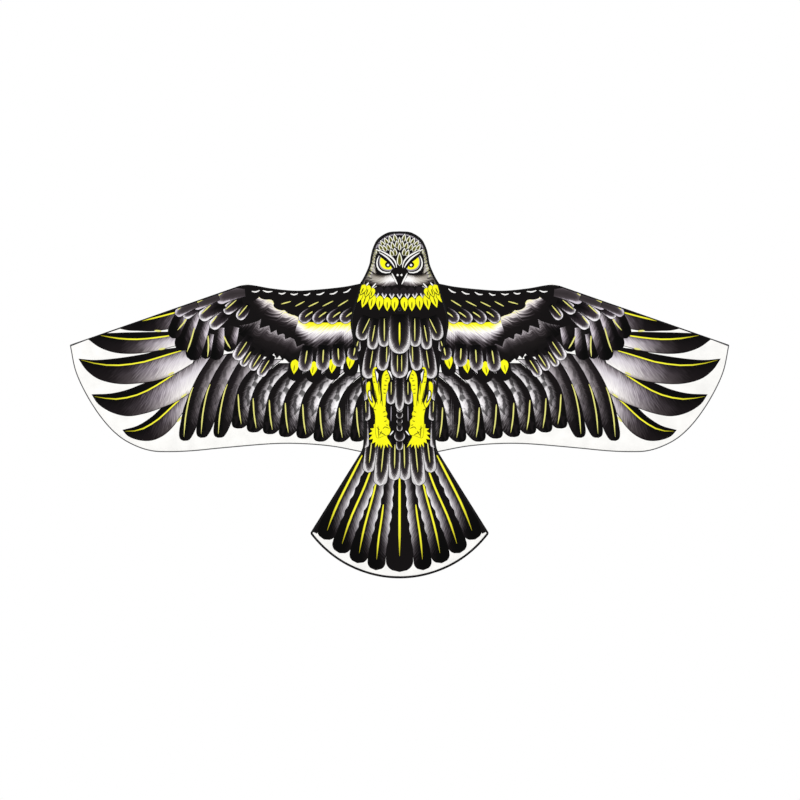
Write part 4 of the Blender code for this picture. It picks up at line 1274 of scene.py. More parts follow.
    def beak(self) -> list[Patch]:
        """Draws the hooked beak with its two nostrils."""
        bill = shape(Ink.BLACK, (0, 118), (12, 118), (19, 112), (20, 105), (11, 88), (0, 72), (-11, 88),
                     (-20, 105), (-19, 112), (-12, 118), steps=3)
        line = sliver([(17.5, 106), (5, 81)], 3.6, Ink.WHITE)
        return [bill, *self.both([line, blob((4.4, 102), 2.3, 2.5, Ink.WHITE, steps=12)])]


# Cloth --------------------


def body_outline() -> list[Point]:
    """Gives the body panel's outline: head, sides and fan tail."""
    start = math.atan2(TAIL_CORNER[1] - TAIL_ARC_CENTRE, TAIL_CORNER[0])
    arc = [(TAIL_ARC_RADIUS * math.cos(a), TAIL_ARC_CENTRE + TAIL_ARC_RADIUS * math.sin(a))
           for a in np.linspace(start, -math.pi / 2, 26)]
    half = [*smooth((*HEAD, BODY_SIDE[0]), 5)[:-1], *smooth(BODY_SIDE, 5), TAIL_CORNER, *arc[1:]]
    return [*half, *((-x, z) for x, z in half[-2:0:-1])]


def wing_outline() -> list[Point]:
    """Gives the right wing panel's outline, from the seam round the tip and back."""
    front = smooth((*LEADING_EDGE, WING_TIP), 5)
    rear = smooth(TRAILING_EDGE, 5)
    seam = [(x + SEAM_GAP, z) for x, z in smooth(BODY_SIDE, 5)][::-1]
    return [*front, *rear[1:-1], *seam[:-1]]


def cloth_front(across: np.ndarray, up: np.ndarray) -> np.ndarray:
    """Gives the depth of the cloth's front: a light billow between the spars, and puckers at its seams.

    Args:
        across: distances from the spine in mm, to either side.
        up: heights in mm.

    Returns:
        The depths in mm, which are negative towards the front.
    """
    x, z = np.abs(np.asarray(across, float)), np.asarray(up, float)
    front = np.interp(x, *np.array([(90, 82), *smooth(LEADING_EDGE, 4)[1:], WING_TIP]).T)
    rear = np.interp(x, *np.array(smooth(TRAILING_EDGE, 4))[::-1].T)
    outward = np.clip((x - 142) / 600, 0, 1)
    down = np.clip((front - z) / np.maximum(front - rear, 1), 0, 1)
    billow = BILLOW * np.sin(np.pi * outward) ** 0.7 * np.sin(np.pi * down) ** 1.2
    flutter = FLUTTER * down ** 3 * np.sin(x / 31 + z / 140) * np.clip(outward * 4, 0, 1)
    seam = np.interp(-z, *np.array([(-z0, x0) for x0, z0 in BODY_SIDE]).T)
    gather = SEAM_GATHER * np.sin(z / 5.2) * np.exp(-np.abs(x - seam - 4) / 14)
    hem = HEM_GATHER * np.sin(x / 6.5) * np.exp(-np.abs(front - z - 9) / 9) * np.clip((x - 95) / 20, 0, 1)
    wing = billow + flutter + hem
    tail = np.clip((-z - 300) / 270, 0, 1)
    fan = TAIL_WAVE * tail * np.sin(x / 17.0) * np.sin(np.pi * np.clip(x / 190, 0, 1))
    body = fan + SPINE_PUCKER * np.sin(z / 9.0) * np.exp(-((x - 12) / 14) ** 2)
    inside = x <= seam
    return -np.where(inside & (z > -300), body + gather, np.where(z <= -300.5, body, wing + gather))


@dataclass
class PrintedPanel:
    """One panel of printed cloth, whose faces are divided along the edges of its print."""

    name: str
    outline: list[Point]
    patches: list[Patch]
    finishes: Finishes
    mirror: bool = False
    thickness: float = 0.3  # the real 0.1 mm cloth, drawn thick enough to keep its edge
    lattice: float = 9.0
    folds: tuple[float, ...] = ()

    def arrange(self) -> tuple[np.ndarray, list, np.ndarray]:
        """Divides the panel along every printed edge.

        Returns:
            The points, the triangles and, for each triangle, the number of the topmost patch.
        """
        self.patches = [Patch(self.outline, Ink.WHITE), *self.patches]
        places, edges = [], []
        for patch in self.patches:
            start, count = len(places), len(patch.outline)
            places += [Vector(p) for p in patch.outline]
            edges += [(start + i, start + (i + 1) % count) for i in range(count)]
        low, high = np.array(self.outline).min(axis=0), np.array(self.outline).max(axis=0)
        for row, z in enumerate(np.arange(low[1], high[1], self.lattice * 0.87)):
            for x in np.arange(low[0] + (row % 2) * self.lattice / 2, high[0], self.lattice):
                places.append(Vector((x, z)))
        for x in self.folds:
            edges.append((len(places), len(places) + 1))
            places += [Vector((x, low[1] - 2)), Vector((x, high[1] + 2))]
        points, _, faces, _, _, _ = delaunay_2d_cdt(places, edges, [], 0, 0.02, False)
        points, faces = np.array(points), np.array(faces)
        middles = points[faces].mean(axis=1)
        tops = np.full(len(faces), -1)
        for number, patch in enumerate(self.patches):
            tops[within(np.array(patch.outline), middles)] = number
        kept = within(np.array(self.outline), middles)
        return points, faces[kept].tolist(), tops[kept]

    def build(self) -> Piece:
        """Makes the panel.

        Returns:
            The finished cloth, with its maps, inks and thickness.
        """
        points, faces, tops = self.arrange()
        depth = cloth_front(points[:, 0], points[:, 1])
        side = -1 if self.mirror else 1
        places = np.column_stack([side * points[:, 0], depth, points[:, 1]]) * MM
        mesh = bpy.data.meshes.new(self.name)
        turned = [f[::-1] for f in faces] if self.mirror else faces
        mesh.from_pydata(places.tolist(), [], turned)
        used = sorted({self.patches[t].ink for t in set(tops.tolist())}, key=lambda ink: ink.name)
        number = {ink: i for i, ink in enumerate(used)}
        for ink in used:
            mesh.materials.append(self.finishes.of(ink))
        mesh.polygons.foreach_set("material_index", [number[self.patches[t].ink] for t in tops])
        self.lay_maps(mesh, points, tops)
        obj = bpy.data.objects.new(self.name, mesh)
        bpy.context.scene.collection.objects.link(obj)
        wall = obj.modifiers.new("cloth_thickness", "SOLIDIFY")
        wall.thickness = self.thickness * MM
        wall.offset = -1.0
        apply_modifiers(obj)
        self.mark_back(obj.data)
        obj.data.shade_smooth()
        obj.data.set_sharp_from_angle(angle=math.radians(50))
        return obj

    def lay_maps(self, mesh: bpy.types.Mesh, points: np.ndarray, tops: np.ndarray) -> None:
        """Lays the maps that the inks follow: across and along each shape.

        Args:
            mesh: the panel's mesh.
            points: its points in mm.
            tops: the patch of each face.
        """
        count = len(mesh.loops)
        corner = np.empty(count, np.int32)
        mesh.loops.foreach_get("vertex_index", corner)
        owner = np.repeat(tops, 3)
        vane, barb = np.zeros((count, 2)), np.zeros((count, 2))
        for number in np.unique(tops):
            patch = self.patches[number]
            if patch.ink.value.spread is Spread.FLAT:
                continue
            chosen = np.nonzero(owner == number)[0]
            vane[chosen], barb[chosen] = self.measure(patch, points[corner[chosen]])
        for name, values in (("vane", vane), ("barb", barb)):
            layer = mesh.uv_layers.new(name=name)
            layer.data.foreach_set("uv", values.astype(np.float32).ravel())

    def measure(self, patch: Patch, places: np.ndarray) -> tuple[np.ndarray, np.ndarray]:
        """Measures points against a patch's quill.

        Args:
            patch: the printed shape.
            places: points in mm.

        Returns:
            For each point, across and along as shares, and across and along in decimetres.
        """
        along, lateral, length = follow(np.array(patch.quill), places)
        if patch.flipped:
            lateral = -lateral
        if patch.facing:
            near, far = np.abs(lateral), np.abs(follow(np.array(patch.facing), places)[1])
            share = near / np.maximum(near + far, 1e-6)
            return (np.column_stack([along / length, share]), np.column_stack([near, along]) / DECIMETRE)
        _, edge, _ = follow(np.array(patch.quill), np.array(patch.outline))
        if patch.flipped:
            edge = -edge
        left, right = max(edge.max(), 0.5), max(-edge.min(), 0.5)
        across = np.where(lateral > 0, lateral / left, lateral / right)
        vane = np.column_stack([0.5 + 0.5 * across, np.clip(along / length, 0, 1)])
        return vane, np.column_stack([lateral, along]) / DECIMETRE

    def mark_back(self, mesh: bpy.types.Mesh) -> None:
        """Marks the cloth's back, where the print shows through paler."""
        normals = np.array([p.normal[1] for p in mesh.polygons])
        back = mesh.attributes.new("back", "FLOAT", "FACE")
        back.data.foreach_set("value", (normals > 0.3).astype(np.float32))


def within(outline: np.ndarray, places: np.ndarray) -> np.ndarray:
    """Says which points lie in an outline."""
    found = np.zeros(len(places), bool)
    near = np.nonzero(((places >= outline.min(axis=0)) & (places <= outline.max(axis=0))).all(axis=1))[0]
    start, end = outline, np.roll(outline, -1, axis=0)
    climb = end[:, 1] - start[:, 1]
    for chosen in np.array_split(near, max(1, len(near) // 4000)):
        x, z = places[chosen, :1], places[chosen, 1:]
        crosses = (start[:, 1] > z) != (end[:, 1] > z)
        at = start[:, 0] + (z - start[:, 1]) * (end[:, 0] - start[:, 0]) / np.where(climb == 0, 1, climb)
        found[chosen] = np.where(crosses & (x < at), np.sign(climb), 0).sum(axis=1) != 0
    return found


def follow(line: np.ndarray, places: np.ndarray) -> tuple[np.ndarray, np.ndarray, float]:
    """Finds where points lie beside a line.

    Args:
        line: its points.
        places: the points to find.

    Returns:
        The distance along the line, the distance to its left, and the line's length.
    """
    start, run = line[:-1], np.diff(line, axis=0)
    lengths = np.maximum(np.linalg.norm(run, axis=1), 1e-6)
    begun = np.concatenate([[0], np.cumsum(lengths)])
    offset = places[:, None, :] - start[None]
    share = np.clip((offset * run[None]).sum(-1) / lengths ** 2, 0, 1)
    gap = offset - share[..., None] * run[None]
    best = np.argmin((gap ** 2).sum(-1), axis=1)
    rows = np.arange(len(places))
    turn = run[best, 0] * offset[rows, best, 1] - run[best, 1] * offset[rows, best, 0]
    distance = np.sqrt((gap[rows, best] ** 2).sum(-1))
    return begun[best] + share[rows, best] * lengths[best], np.sign(turn) * distance, float(begun[-1])


def apply_modifiers(obj: Piece) -> None:
    """Makes the modifiers' result the object's own mesh."""
    graph = bpy.context.evaluated_depsgraph_get()
    made = bpy.data.meshes.new_from_object(obj.evaluated_get(graph))
    obj.modifiers.clear()
    old = obj.data
    obj.data = made
    made.name = obj.name
    bpy.data.meshes.remove(old)


def finish_mesh(name: str, bm: Shape, materials: list[Material], sharp: float = 40.0) -> Piece:
    """Turns a bmesh into a finished piece.

    Args:
        name: the piece's name.
        bm: its shape, in mm.
        materials: its materials, in the order of the faces' numbers.
        sharp: the angle past which an edge stays sharp, in degrees.

    Returns:
        The piece, in metres, with its faces turned outwards.
    """
    bmesh.ops.recalc_face_normals(bm, faces=bm.faces[:])
    bmesh.ops.scale(bm, vec=(MM, MM, MM), verts=bm.verts[:])
    mesh = bpy.data.meshes.new(name)
    bm.to_mesh(mesh)
    bm.free()
    for material in materials:
        mesh.materials.append(material)
    mesh.shade_smooth()
    mesh.set_sharp_from_angle(angle=math.radians(sharp))
    obj = bpy.data.objects.new(name, mesh)
    bpy.context.scene.collection.objects.link(obj)
    return obj


def sweep(bm: Shape, rings: list[list[Vector]], joined: bool = False) -> None:
    """Extrudes a closed section from place to place.

    Args:
        bm: where the shape goes.
        rings: the section at each place, with the same number of points.
        joined: whether the last place meets the first; otherwise both ends are closed.
    """
    ring = [bm.verts.new(p) for p in rings[0]]
    edges = [bm.edges.new((a, b)) for a, b in zip(ring, [*ring[1:], ring[0]])]
    first = list(edges)
    for places in rings[1:]:
        made = bmesh.ops.extrude_edge_only(bm, edges=edges)["geom"]
        fresh = {tuple(v.co): v for v in made if isinstance(v, bmesh.types.BMVert)}
        edges = [e for e in made if isinstance(e, bmesh.types.BMEdge)
                 and all(v in fresh.values() for v in e.verts)]
        ring = [fresh[tuple(v.co)] for v in ring]
        for vert, place in zip(ring, places):
            vert.co = place
    if joined:
        bmesh.ops.bridge_loops(bm, edges=[*first, *edges])
    else:
        for loop in (first, edges):
            bmesh.ops.contextual_create(bm, geom=loop)


def stitch(bm: Shape, line: list[Point], depth: float, number: int, pitch: float = 4.2,
           length: float = 2.9, side: int = 1) -> None:
    """Sews a row of lock stitches.

    Args:
        bm: where they go, in mm.
        line: the row, across and up.
        depth: how far the thread lies behind the cloth's front, in mm.
        number: the thread's material number.
        pitch: the distance from stitch to stitch.
        length: the length of thread that shows.
        side: 1 for the right, or -1 to mirror the row.
    """
    lengths = np.linalg.norm(np.diff(np.array(line, float), axis=0), axis=1)
    count = max(2, int(lengths.sum() / pitch))
    points = resample(line, count)
    fronts = cloth_front(points[:, 0], points[:, 1])
    for i in range(count - 1):
        run = points[i + 1] - points[i]
        angle = math.atan2(run[1], side * run[0])
        made = bmesh.ops.create_icosphere(bm, subdivisions=1, radius=1.0)["verts"]
        bmesh.ops.scale(bm, vec=(length / 2, 0.22, 0.28), verts=made)
        bmesh.ops.rotate(bm, cent=(0, 0, 0), matrix=Matrix.Rotation(-angle, 3, "Y"), verts=made)
        middle = (points[i] + points[i + 1]) / 2
        bmesh.ops.translate(bm, vec=(side * middle[0], fronts[i] + depth, middle[1]), verts=made)
        for face in {f for v in made for f in v.link_faces}:
            face.material_index = number


# Sewn tapes --------------------


def wrapped_tape(bm: Shape, line: list[Point], inward: np.ndarray, front: float, rear: float,
                 wall: float = 0.32, closed: bool = True, side: int = 1) -> None:
    """Folds a tape over the cloth's edge, from its front round to its back.

    Args:
        bm: where it goes, in mm.
        line: the cloth's edge.
        inward: the direction into the cloth at each point.
        front: the tape's width on the front.
        rear: its width on the back.
        wall: its thickness.
        closed: whether the edge is a closed line.
        side: 1 for the right, or -1 to mirror it.
    """
    points = np.array(line, float)
    lie = cloth_front(points[:, 0], points[:, 1])
    # (into the cloth, behind its front), outer face of the tape first and then its inner face
    section = [(front, -0.12 - wall), (0.9, -0.16 - wall), (-0.15, -0.1 - wall), (-0.5, 0.0), (-0.5, 0.35),
               (-0.15, 0.42 + wall), (0.9, 0.46 + wall), (rear, 0.42 + wall),
               (rear, 0.36), (0.2, 0.36), (0.2, -0.06), (front, -0.06)]
    rings = []
    for (x, z), way, depth in zip(points, inward, lie):
        rings.append([Vector((side * (x + way[0] * u), depth + y, z + way[1] * u)) for u, y in section])
    sweep(bm, rings, joined=closed)


def arch_section(rod: float, wide: float, centre: float, base: float, wall: float,
                 rise: float) -> list[Point]:
    """Gives the section of a tape that runs over a rod and is sewn down on both sides.

    Args:
        rod: the radius that it clears.
        wide: its half width.
        centre: the depth of the rod's middle.
        base: the depth where it is sewn to the cloth.
        wall: its thickness.
        rise: 1 where it stands over the rod, and 0 where it lies flat.

    Returns:
        The closed section, across and in depth.
    """
    outer, inner = [], []
    for extra, found in ((wall, outer), (0.0, inner)):
        reach = rod + extra
        found += [(-wide, base + extra), (-reach - 1.6, base + extra),
                  (-reach - 0.3, base + extra + 0.5 * rise)]
        for i in range(9):
            angle = math.radians(170 - 20 * i)
            y = centre + reach * math.sin(angle)
            found.append((reach * math.cos(angle), base + extra + (y - base - extra) * rise))
        found += [(reach + 0.3, base + extra + 0.5 * rise), (reach + 1.6, base + extra), (wide, base + extra)]
    return [*outer, *inner[::-1]]


def arched_tape(bm: Shape, path: list[tuple[float, float, float]], rod: float, wide: float,
                centre: float, wall: float = 0.45) -> None:
    """Runs a tape along a rod, behind the cloth.

    Args:
        bm: where it goes, in mm.
        path: across, up and the tape's rise at each place.
        rod: the radius that it clears.
        wide: its half width.
        centre: the depth of the rod's middle.
        wall: its thickness.
    """
    points = np.array([p[:2] for p in path], float)
    sides = normals_of(points, closed=False)
    lie = cloth_front(points[:, 0], points[:, 1])
    rings = []
    for (x, z, rise), way, depth in zip(path, sides, lie):
        section = arch_section(rod, wide, centre, depth + 0.42, wall, rise)
        rings.append([Vector((x + way[0] * u, y, z + way[1] * u)) for u, y in section])
    sweep(bm, rings)


@dataclass
class BodyTapes:
    """The binding of head, body and tail, and the pockets and keepers of the spine and the tail struts."""

    finishes: Finishes
    binding_width: float = 4.4
    binding_rear: float = 5.6  # its width on the back
    pocket_half: float = 5.8
    pocket_reach: float = 9.0
    pocket_clearance: float = 3.3  # the radius of the rod's cap, with room round it
    keeper_clearance: float = 2.35
    keeper_heights: tuple = (("upper", 118.0), ("middle", -120.0), ("lower", -420.0))

    def binding(self) -> Piece:
        """Sews the black binding round the whole body panel."""
        line = [tuple(p) for p in resample([*body_outline(), body_outline()[0]], 420)[:-1]]
        inward = -normals_of(np.array(line), closed=True)
        bm = bmesh.new()
        wrapped_tape(bm, line, inward, self.binding_width, self.binding_rear)
        row = inset(line, self.binding_width - 1.3)
        stitch(bm, [*row, row[0]], -0.5, 1)
        stitch(bm, [*row, row[0]], 0.95, 1)
        piece = finish_mesh("edge_binding", bm, self.finishes.sewn())
        return attach(piece, "airframe", "black_tape", "body_binding")

    def pocket(self, name: str, mouth: Point, aim: Point, node: str, body: str = "airframe") -> Piece:
        """Sews one rod-end pocket.

        Args:
            name: the piece's name.
            mouth: the middle of the pocket, across and up.
            aim: the way that it points.
            node: the CAD node that it stands for.
            body: the body that it rides on.

        Returns:
            The pocket.
        """
        bm = bmesh.new()
        stations = ((-1.0, 1.0), (-0.5, 1.0), (0.0, 1.0), (0.35, 0.97), (0.6, 0.8), (0.78, 0.45), (0.9, 0.12),
                    (1.0, 0.0))
        path = [(mouth[0] + aim[0] * self.pocket_reach * s, mouth[1] + aim[1] * self.pocket_reach * s, rise)
                for s, rise in stations]
        arched_tape(bm, path, self.pocket_clearance, self.pocket_half, ROD_DEPTH)
        side = np.array([-aim[1], aim[0]]) * (self.pocket_half - 1.0)
        ends = [np.array(path[0][:2]), np.array(path[-1][:2]) - np.array(aim) * 1.0]
        row = [tuple(ends[0] + side), tuple(ends[1] + side), tuple(ends[1] - side), tuple(ends[0] - side)]
        stitch(bm, row, 0.95, 1, pitch=2.8, length=2.0)
        return attach(finish_mesh(name, bm, self.finishes.sewn()), body, "black_tape", node)

    def keeper(self, name: str, height: float) -> Piece:
        """Sews one loop of tape over the spine."""
        bm = bmesh.new()
        arched_tape(bm, [(0, height + 6 - 1.5 * i, 1.0) for i in range(9)], self.keeper_clearance, 9.0,
                    ROD_DEPTH, 0.6)
        for x in (-7.6, 7.6, -5.4, 5.4):
            stitch(bm, [(x, height - 5), (x, height + 5)], 1.1, 1, pitch=2.5, length=1.8)
        return attach(finish_mesh(f"keeper_{name}", bm, self.finishes.sewn()), "airframe", "black_tape",
                      f"spine_keeper_{name}")

    def build(self) -> None:
        """Makes every tape of the body."""
        self.binding()
        self.pocket("spine_head_pocket", (0, SPINE_TOP), (0, 1), "head_pocket")
        self.pocket("spine_tail_pocket", (0, SPINE_BOTTOM), (0, -1), "tail_pocket")
        for name, height in self.keeper_heights:
            self.keeper(name, height)
        for name, side in (("left", -1), ("right", 1)):
            corner = np.array(TAIL_POCKET)
            aim = corner - np.array(TAIL_FITTING)
            aim /= np.linalg.norm(aim)
            self.pocket(f"{name}_tail_pocket", (side * corner[0], corner[1]), (side * aim[0], aim[1]),
                        f"{name}_tail_corner_pocket")
        LOG.info("body tapes: binding, 4 pockets and 3 keepers")


@dataclass
class WingTapes:
    """The leading-edge hem with its spar sleeve, the trailing-edge tape, and the covers of batten and tip."""

    name: str
    side: int
    finishes: Finishes
    sleeve_spans: tuple = ((142.6, 551.2), (586.8, 716.2))
    hem_front: float = 2.4

    def hem_section(self, rise: float) -> list[Point]:
        """Gives the hem's section: over the front, round the edge, over the spar and down to its seam.

        Args:
            rise: 1 where it holds the spar, and 0 where it lies flat.

        Returns:
            The closed section, up from the spar's middle and in depth.
        """
        edge, wall, flat = SPAR_INSET, 0.42, 0.75
        outer = [(edge - self.hem_front, -0.5), (edge - 1.0, -0.55), (edge + 0.25, -0.4), (edge + 0.5, 0.2)]
        inner = [(edge - self.hem_front, -0.12), (edge - 1.0, -0.14), (edge - 0.1, -0.05),
                 (edge + 0.05, 0.25)]
        for radius, found in ((3.3, outer), (2.9, inner)):
            low = flat + (wall if found is outer else 0.0)
            for i in range(9):
                angle = math.radians(28 + 19 * i)
                y = ROD_DEPTH + radius * math.sin(angle)
                found.append((radius * math.cos(angle) + 0.4 * (8 - i) * (1 - rise), low + (y - low) * rise))
            found += [(-4.6, low + 0.3 * rise), (-6.0, low), (-11.0, low)]
        return [*outer, *inner[::-1]]

    def hem(self) -> Piece:
        """Sews the leading edge: one hem from neck to tip, raised over the spar where its sleeve is."""
        places = [90.5, 100, 108, 113.5, *np.linspace(116, 139, 9), 140.5, 141.8, 143.2, 144.6,
                  *np.linspace(147, 551, 92), 552.6, 555, 566, 580, 583, 585.4, *np.linspace(587, 705, 24),
                  708]
        line = np.array([(x, leading_edge_z(x)) for x in places])
        down = -normals_of(line, closed=False)
        bm = bmesh.new()
        rings = []
        for (x, z), way in zip(line, down):
            inside = [min(x - low, high - x) for low, high in self.sleeve_spans]
            rise = float(np.clip(max(inside) / 3.0 + 0.4, 0, 1))
            middle = (x + way[0] * SPAR_INSET, z + way[1] * SPAR_INSET)
            rings.append([Vector((self.side * (middle[0] - way[0] * u), y, middle[1] - way[1] * u))
                          for u, y in self.hem_section(rise)])
        sweep(bm, rings)
        rear = [tuple(p) for p in line + down * (SPAR_INSET + 9.4)]
        stitch(bm, rear, 1.35, 1, side=self.side)
        piece = finish_mesh(f"{self.name}_leading_edge_hem", bm, self.finishes.sewn())
        return bend(piece, self.name, self.side, "black_tape", f"{self.name}_leading_edge_sleeve_inner",
                    f"{self.name}_leading_edge_sleeve_outer")

    def trailing_tape(self) -> Piece:
        """Sews the narrow dark tape of tip and trailing edge."""
        rear = [(706, leading_edge_z(706)), (728, leading_edge_z(728)), *smooth(TRAILING_EDGE, 12)]
        even = resample(rear, 330)
        curve = np.array(smooth(TRAILING_EDGE, 6))[::-1]
        fold = np.array([(x, np.interp(x, *curve.T)) for x in np.linspace(141, 112, 12)])
        far = even[even[:, 0] > 142]
        near = even[(even[:, 0] < 111) & (even[:, 1] < -200)]
        line = np.vstack([far, fold, near])
        ways = -normals_of(line, closed=False)
        bm = bmesh.new()
        wrapped_tape(bm, [tuple(p) for p in line], ways, 1.7, 2.4, wall=0.26, closed=False, side=self.side)
        piece = finish_mesh(f"{self.name}_trailing_edge_tape", bm, [self.finishes.of(Finish.EDGING)])
        return bend(piece, self.name, self.side, "black_tape")

    def batten_sleeve(self) -> Piece:
        """Sews the sleeve over the batten."""
        start, end = np.array(BATTEN[0]), np.array(BATTEN[1])
        way = (end - start) / np.linalg.norm(end - start)
        reach = float(np.linalg.norm(end - start))
        bm = bmesh.new()
        path = []
        for along in [7, *np.linspace(9, reach - 9, 40), reach - 7]:
            place = start + way * along
            path.append((self.side * place[0], place[1], 1.0))
        arched_tape(bm, path, 1.25, 5.5, BATTEN_DEPTH, 0.35)
        across = np.array([-way[1], way[0]]) * 4.6
        for sign in (-1, 1):
            row = [tuple(start + way * a + sign * across) for a in np.linspace(8, reach - 8, 30)]
            stitch(bm, row, 0.88, 1, side=self.side)
        piece = finish_mesh(f"{self.name}_batten_cover", bm, self.finishes.sewn())
        return attach(piece, f"{self.name}_wing", "black_tape", f"{self.name}_batten_sleeve")

    def build(self, body_tapes: BodyTapes) -> None:
        """Makes every tape of the wing."""
        self.hem()
        self.trailing_tape()
        self.batten_sleeve()
        slope = np.array(WING_TIP) - np.array(LEADING_EDGE[-1])
        slope /= np.linalg.norm(slope)
        z = leading_edge_z(SPAR_TIP) - SPAR_INSET * math.hypot(1, slope[1] / slope[0])
        body_tapes.pocket(f"{self.name}_spar_tip_pocket", (self.side * SPAR_TIP, z),
                          (self.side * slope[0], slope[1]), f"{self.name}_tip_pocket", f"{self.name}_wing")


def attach(piece: Piece, body: str, slot: str, *nodes: str) -> Piece:
    """Puts a finished piece on its body.

    Args:
        piece: the piece.
        body: the body that it rides on.
        slot: the record's material slot; not used.
        nodes: the CAD nodes that it stands for.

    Returns:
        The piece.
    """
    if nodes:
        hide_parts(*nodes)
    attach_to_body(piece, body)
    LOG.info("%s: %d faces", piece.name, len(piece.data.polygons))
    return piece


def bend(piece: Piece, wing: str, side: int, slot: str, *nodes: str) -> Piece:
    """Hides the CAD nodes that a finished piece stands for, and bakes its placement into its own mesh.

    Args:
        piece: the piece.
        wing: the wing's name, left or right; not used.
        side: 1 for the right, or -1 for the left; not used.
        slot: the record's material slot; not used.
        nodes: the CAD nodes that it stands for.

    Returns:
        The piece.
    """
    if nodes:
        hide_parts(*nodes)
    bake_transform(piece)
    LOG.info("%s: %d faces", piece.name, len(piece.data.polygons))
    return piece


# The sail and the frame --------------------


@dataclass
class Sail:
    """The three printed panels of the sail."""

    finishes: Finishes
    wing_flat: tuple = (0.6675, 0.388)
    wing_area: float = 0.2022
    body_flat: tuple = (0.406, 0.788)
    body_area: float = 0.1689

    def build(self) -> None:
        """Makes the body panel and both wing panels."""
        body = PrintedPanel("printed_body", body_outline(), BodyPrint().patches(), self.finishes).build()
        attach(body, "airframe", "printed_cloth", "body_sail")
        folds = tuple(np.linspace(FOLD_START, FOLD_END, 9))
        for name, side in (("left", -1), ("right", 1)):
            wing = PrintedPanel(f"printed_{name}_wing", wing_outline(), WingPrint().patches(), self.finishes,
                                mirror=side < 0, folds=folds).build()
            bend(wing, name, side, "printed_cloth", f"{name}_wing_sail", f"{name}_hinge_gusset")


@dataclass
class Frame:
    """The frame's rods, drawn round, and the finishes of the frame's own parts."""

    finishes: Finishes
    rod_radius: float = 2.0
    tube_radius: float = 2.5
    batten_radius: float = 1.0
    joint_gap: float = 0.2  # half the gap between the spine's rods, inside their ferrule
    spar_shoulder: float = 147.0
    spar_joint: float = 452.0
    spar_gap: float = 0.15

    def rod(self, name: str, path: list[Vector], radius: float, body: str, node: str) -> Piece:
        """Draws one pultruded rod with broken edges at its ends.

        Args:
            name: the piece's name.
            path: its middle line, in mm.
            radius: its radius in mm.
            body: the body that it rides on.
            node: the CAD node that it stands for.

        Returns:
            The rod.
        """
        bm = bmesh.new()
        first, last = (path[1] - path[0]).normalized(), (path[-1] - path[-2]).normalized()
        line = [(path[0], first, radius - 0.25), (path[0] + first * 0.25, first, radius)]
        line += [(p, (b - a).normalized(), radius) for a, p, b in zip(path, path[1:], path[2:])]
        line += [(path[-1] - last * 0.25, last, radius), (path[-1], last, radius - 0.25)]
        reference = Vector((0, 1, 0))
        rings = []
        for centre, along, reach in line:
            second = along.cross(reference).normalized()
            rings.append([centre + reach * (math.cos(a) * reference + math.sin(a) * second)
                          for a in (2 * math.pi * i / 20 for i in range(20))])
        sweep(bm, rings)
        return attach(finish_mesh(name, bm, [self.finishes.of(Finish.FIBREGLASS)]), body, "fibreglass", node)

    def spar_path(self, start: float, end: float, pieces: int, side: int) -> list[Vector]:
        """Gives the leading-edge rod's middle line."""
        curve = np.array(smooth((*LEADING_EDGE, WING_TIP), 8))
        found = []
        for x in np.linspace(start, end, pieces + 1):
            i = min(max(int(np.searchsorted(curve[:, 0], x)), 1), len(curve) - 1)
            slope = (curve[i, 1] - curve[i - 1, 1]) / (curve[i, 0] - curve[i - 1, 0])
            z = curve[i - 1, 1] + slope * (x - curve[i - 1, 0]) - SPAR_INSET * math.hypot(1, slope)
            found.append(Vector((side * x, ROD_DEPTH, z)))
        return found

    def rods(self) -> None:
        """Draws every rod and tube."""
        for name, top, bottom in (("upper", SPINE_TOP, SPINE_JOINT + self.joint_gap),
                                  ("lower", SPINE_JOINT - self.joint_gap, SPINE_BOTTOM)):
            self.rod(f"spine_rod_{name}", [Vector((0, ROD_DEPTH, top)), Vector((0, ROD_DEPTH, bottom))],
                     self.rod_radius, "airframe", f"spine_{name}_rod")
        for name, side in (("left", -1), ("right", 1)):
            wing = f"{name}_wing"
            inner = self.spar_path(self.spar_shoulder, self.spar_joint - self.spar_gap, 40, side)
            outer = self.spar_path(self.spar_joint + self.spar_gap, SPAR_TIP, 2, side)
            for part, path in (("inner", inner), ("outer", outer)):
                self.rod(f"{name}_spar_{part}", path, self.rod_radius, wing,
                         f"{name}_leading_edge_rod_{part}")
            low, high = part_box(f"{name}_spreader_tube")
            ends = sorted((low.x / MM, high.x / MM), key=abs)
            self.rod(f"{name}_spreader", [Vector((x, SPREADER_DEPTH, 0)) for x in ends], self.tube_radius,
                     wing, f"{name}_spreader_tube")
            self.rod(f"{name}_batten_rod", [Vector((side * x, BATTEN_DEPTH, z)) for x, z in BATTEN],
                     self.batten_radius, wing, f"{name}_batten")

    def dress(self) -> None:
        """Gives each CAD part that stays its own finish."""
        kinds = (("ferrule", Finish.ALUMINIUM), ("hinge_pin", Finish.ALUMINIUM),
                 ("centre_tube", Finish.ALUMINIUM), ("cap", Finish.VINYL), ("stopper", Finish.VINYL),
                 ("strut", Finish.FIBREGLASS), ("eyelet", Finish.EYELET), ("fitting", Finish.NYLON),
                 ("clevis", Finish.NYLON), ("knuckle", Finish.NYLON))
        for name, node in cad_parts.items():
            if node.hide_render:
                continue
            finish = next((f for word, f in kinds if word in name), Finish.NYLON)
            node.data.materials.clear()
            node.data.materials.append(self.finishes.of(finish))
            LOG.info("%s: %s", name, finish.name.lower())


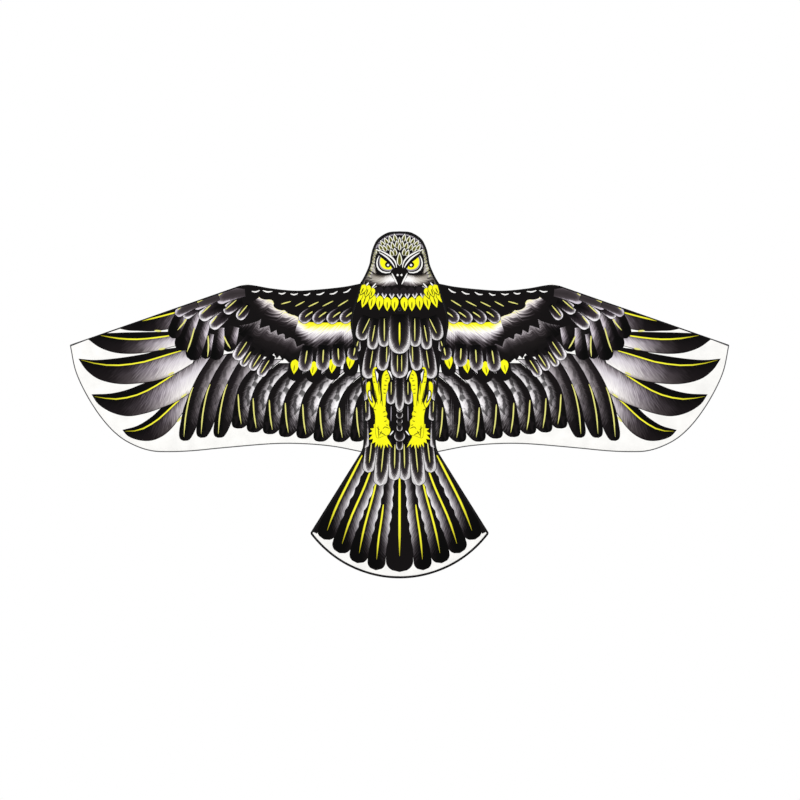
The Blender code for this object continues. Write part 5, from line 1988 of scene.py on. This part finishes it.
@dataclass
class Studio:
    """The camera, the soft light and the pale floor."""

    lens: float = 135.0
    distance: float = 6.8175
    aim: tuple = (0.001, -0.182)
    floor_height: float = -1.25

    def camera(self) -> None:
        """Sets the camera square to the sail."""
        data = bpy.data.cameras.new("face_on")
        data.lens = self.lens
        data.sensor_width = 36.0
        data.clip_end = 60.0
        camera = bpy.data.objects.new("face_on", data)
        camera.location = (self.aim[0], -self.distance, self.aim[1])
        camera.rotation_euler = (math.pi / 2, 0, 0)
        bpy.context.scene.collection.objects.link(camera)
        bpy.context.scene.camera = camera

    def floor(self) -> None:
        """Lays the floor, with its back edge short of the picture."""
        bm = bmesh.new()
        bmesh.ops.create_grid(bm, x_segments=2, y_segments=2, size=4.0)
        bmesh.ops.translate(bm, vec=(0, -3.5, self.floor_height), verts=bm.verts[:])
        mesh = bpy.data.meshes.new("studio_floor")
        bm.to_mesh(mesh)
        bm.free()
        obj = bpy.data.objects.new("studio_floor", mesh)
        made = bpy.data.materials.new("painted_studio_floor")
        made.use_nodes = True
        feed(made.node_tree, made.node_tree.nodes["Principled BSDF"],
             {"Base Color": linear("#ececea"), "Roughness": 0.8})
        mesh.materials.append(made)
        bpy.context.scene.collection.objects.link(obj)

    def lights(self) -> None:
        """Hangs two big soft lights in front and one behind, in a white room."""
        world = bpy.data.worlds.new("white_room")
        world.use_nodes = True
        feed(world.node_tree, world.node_tree.nodes["Background"], {"Color": (1, 1, 1, 1), "Strength": 1.0})
        bpy.context.scene.world = world
        for name, place, power, size in (("key", (-1.6, -2.6, 1.9), 26.0, 2.2),
                                         ("fill", (2.4, -2.6, 0.2), 9.0, 2.6),
                                         ("back", (1.2, 2.6, 1.6), 24.0, 2.0)):
            data = bpy.data.lights.new(name, "AREA")
            data.energy = power
            data.size = size
            light = bpy.data.objects.new(name, data)
            light.location = place
            light.rotation_euler = (Vector((0, 0, -0.15)) - Vector(place)).to_track_quat("-Z", "Y").to_euler()
            bpy.context.scene.collection.objects.link(light)

    def build(self) -> None:
        """Sets the whole studio up."""
        self.camera()
        self.floor()
        self.lights()
        # The plain transform keeps the white cloth and the black ink at the values that they are printed in.
        bpy.context.scene.view_settings.view_transform = "Standard"


def main() -> None:
    """Builds the studio, the sewn tapes, the printed sail and the frame, in that order."""
    logging.basicConfig(level=logging.INFO, format="%(name)s: %(message)s")
    finishes = Finishes()
    Studio().build()
    tapes = BodyTapes(finishes)
    tapes.build()
    for name, side in (("left", -1), ("right", 1)):
        WingTapes(name, side, finishes).build(tapes)
    Sail(finishes).build()
    frame_parts = Frame(finishes)
    frame_parts.rods()
    frame_parts.dress()


if __name__ == "__main__":
    main()
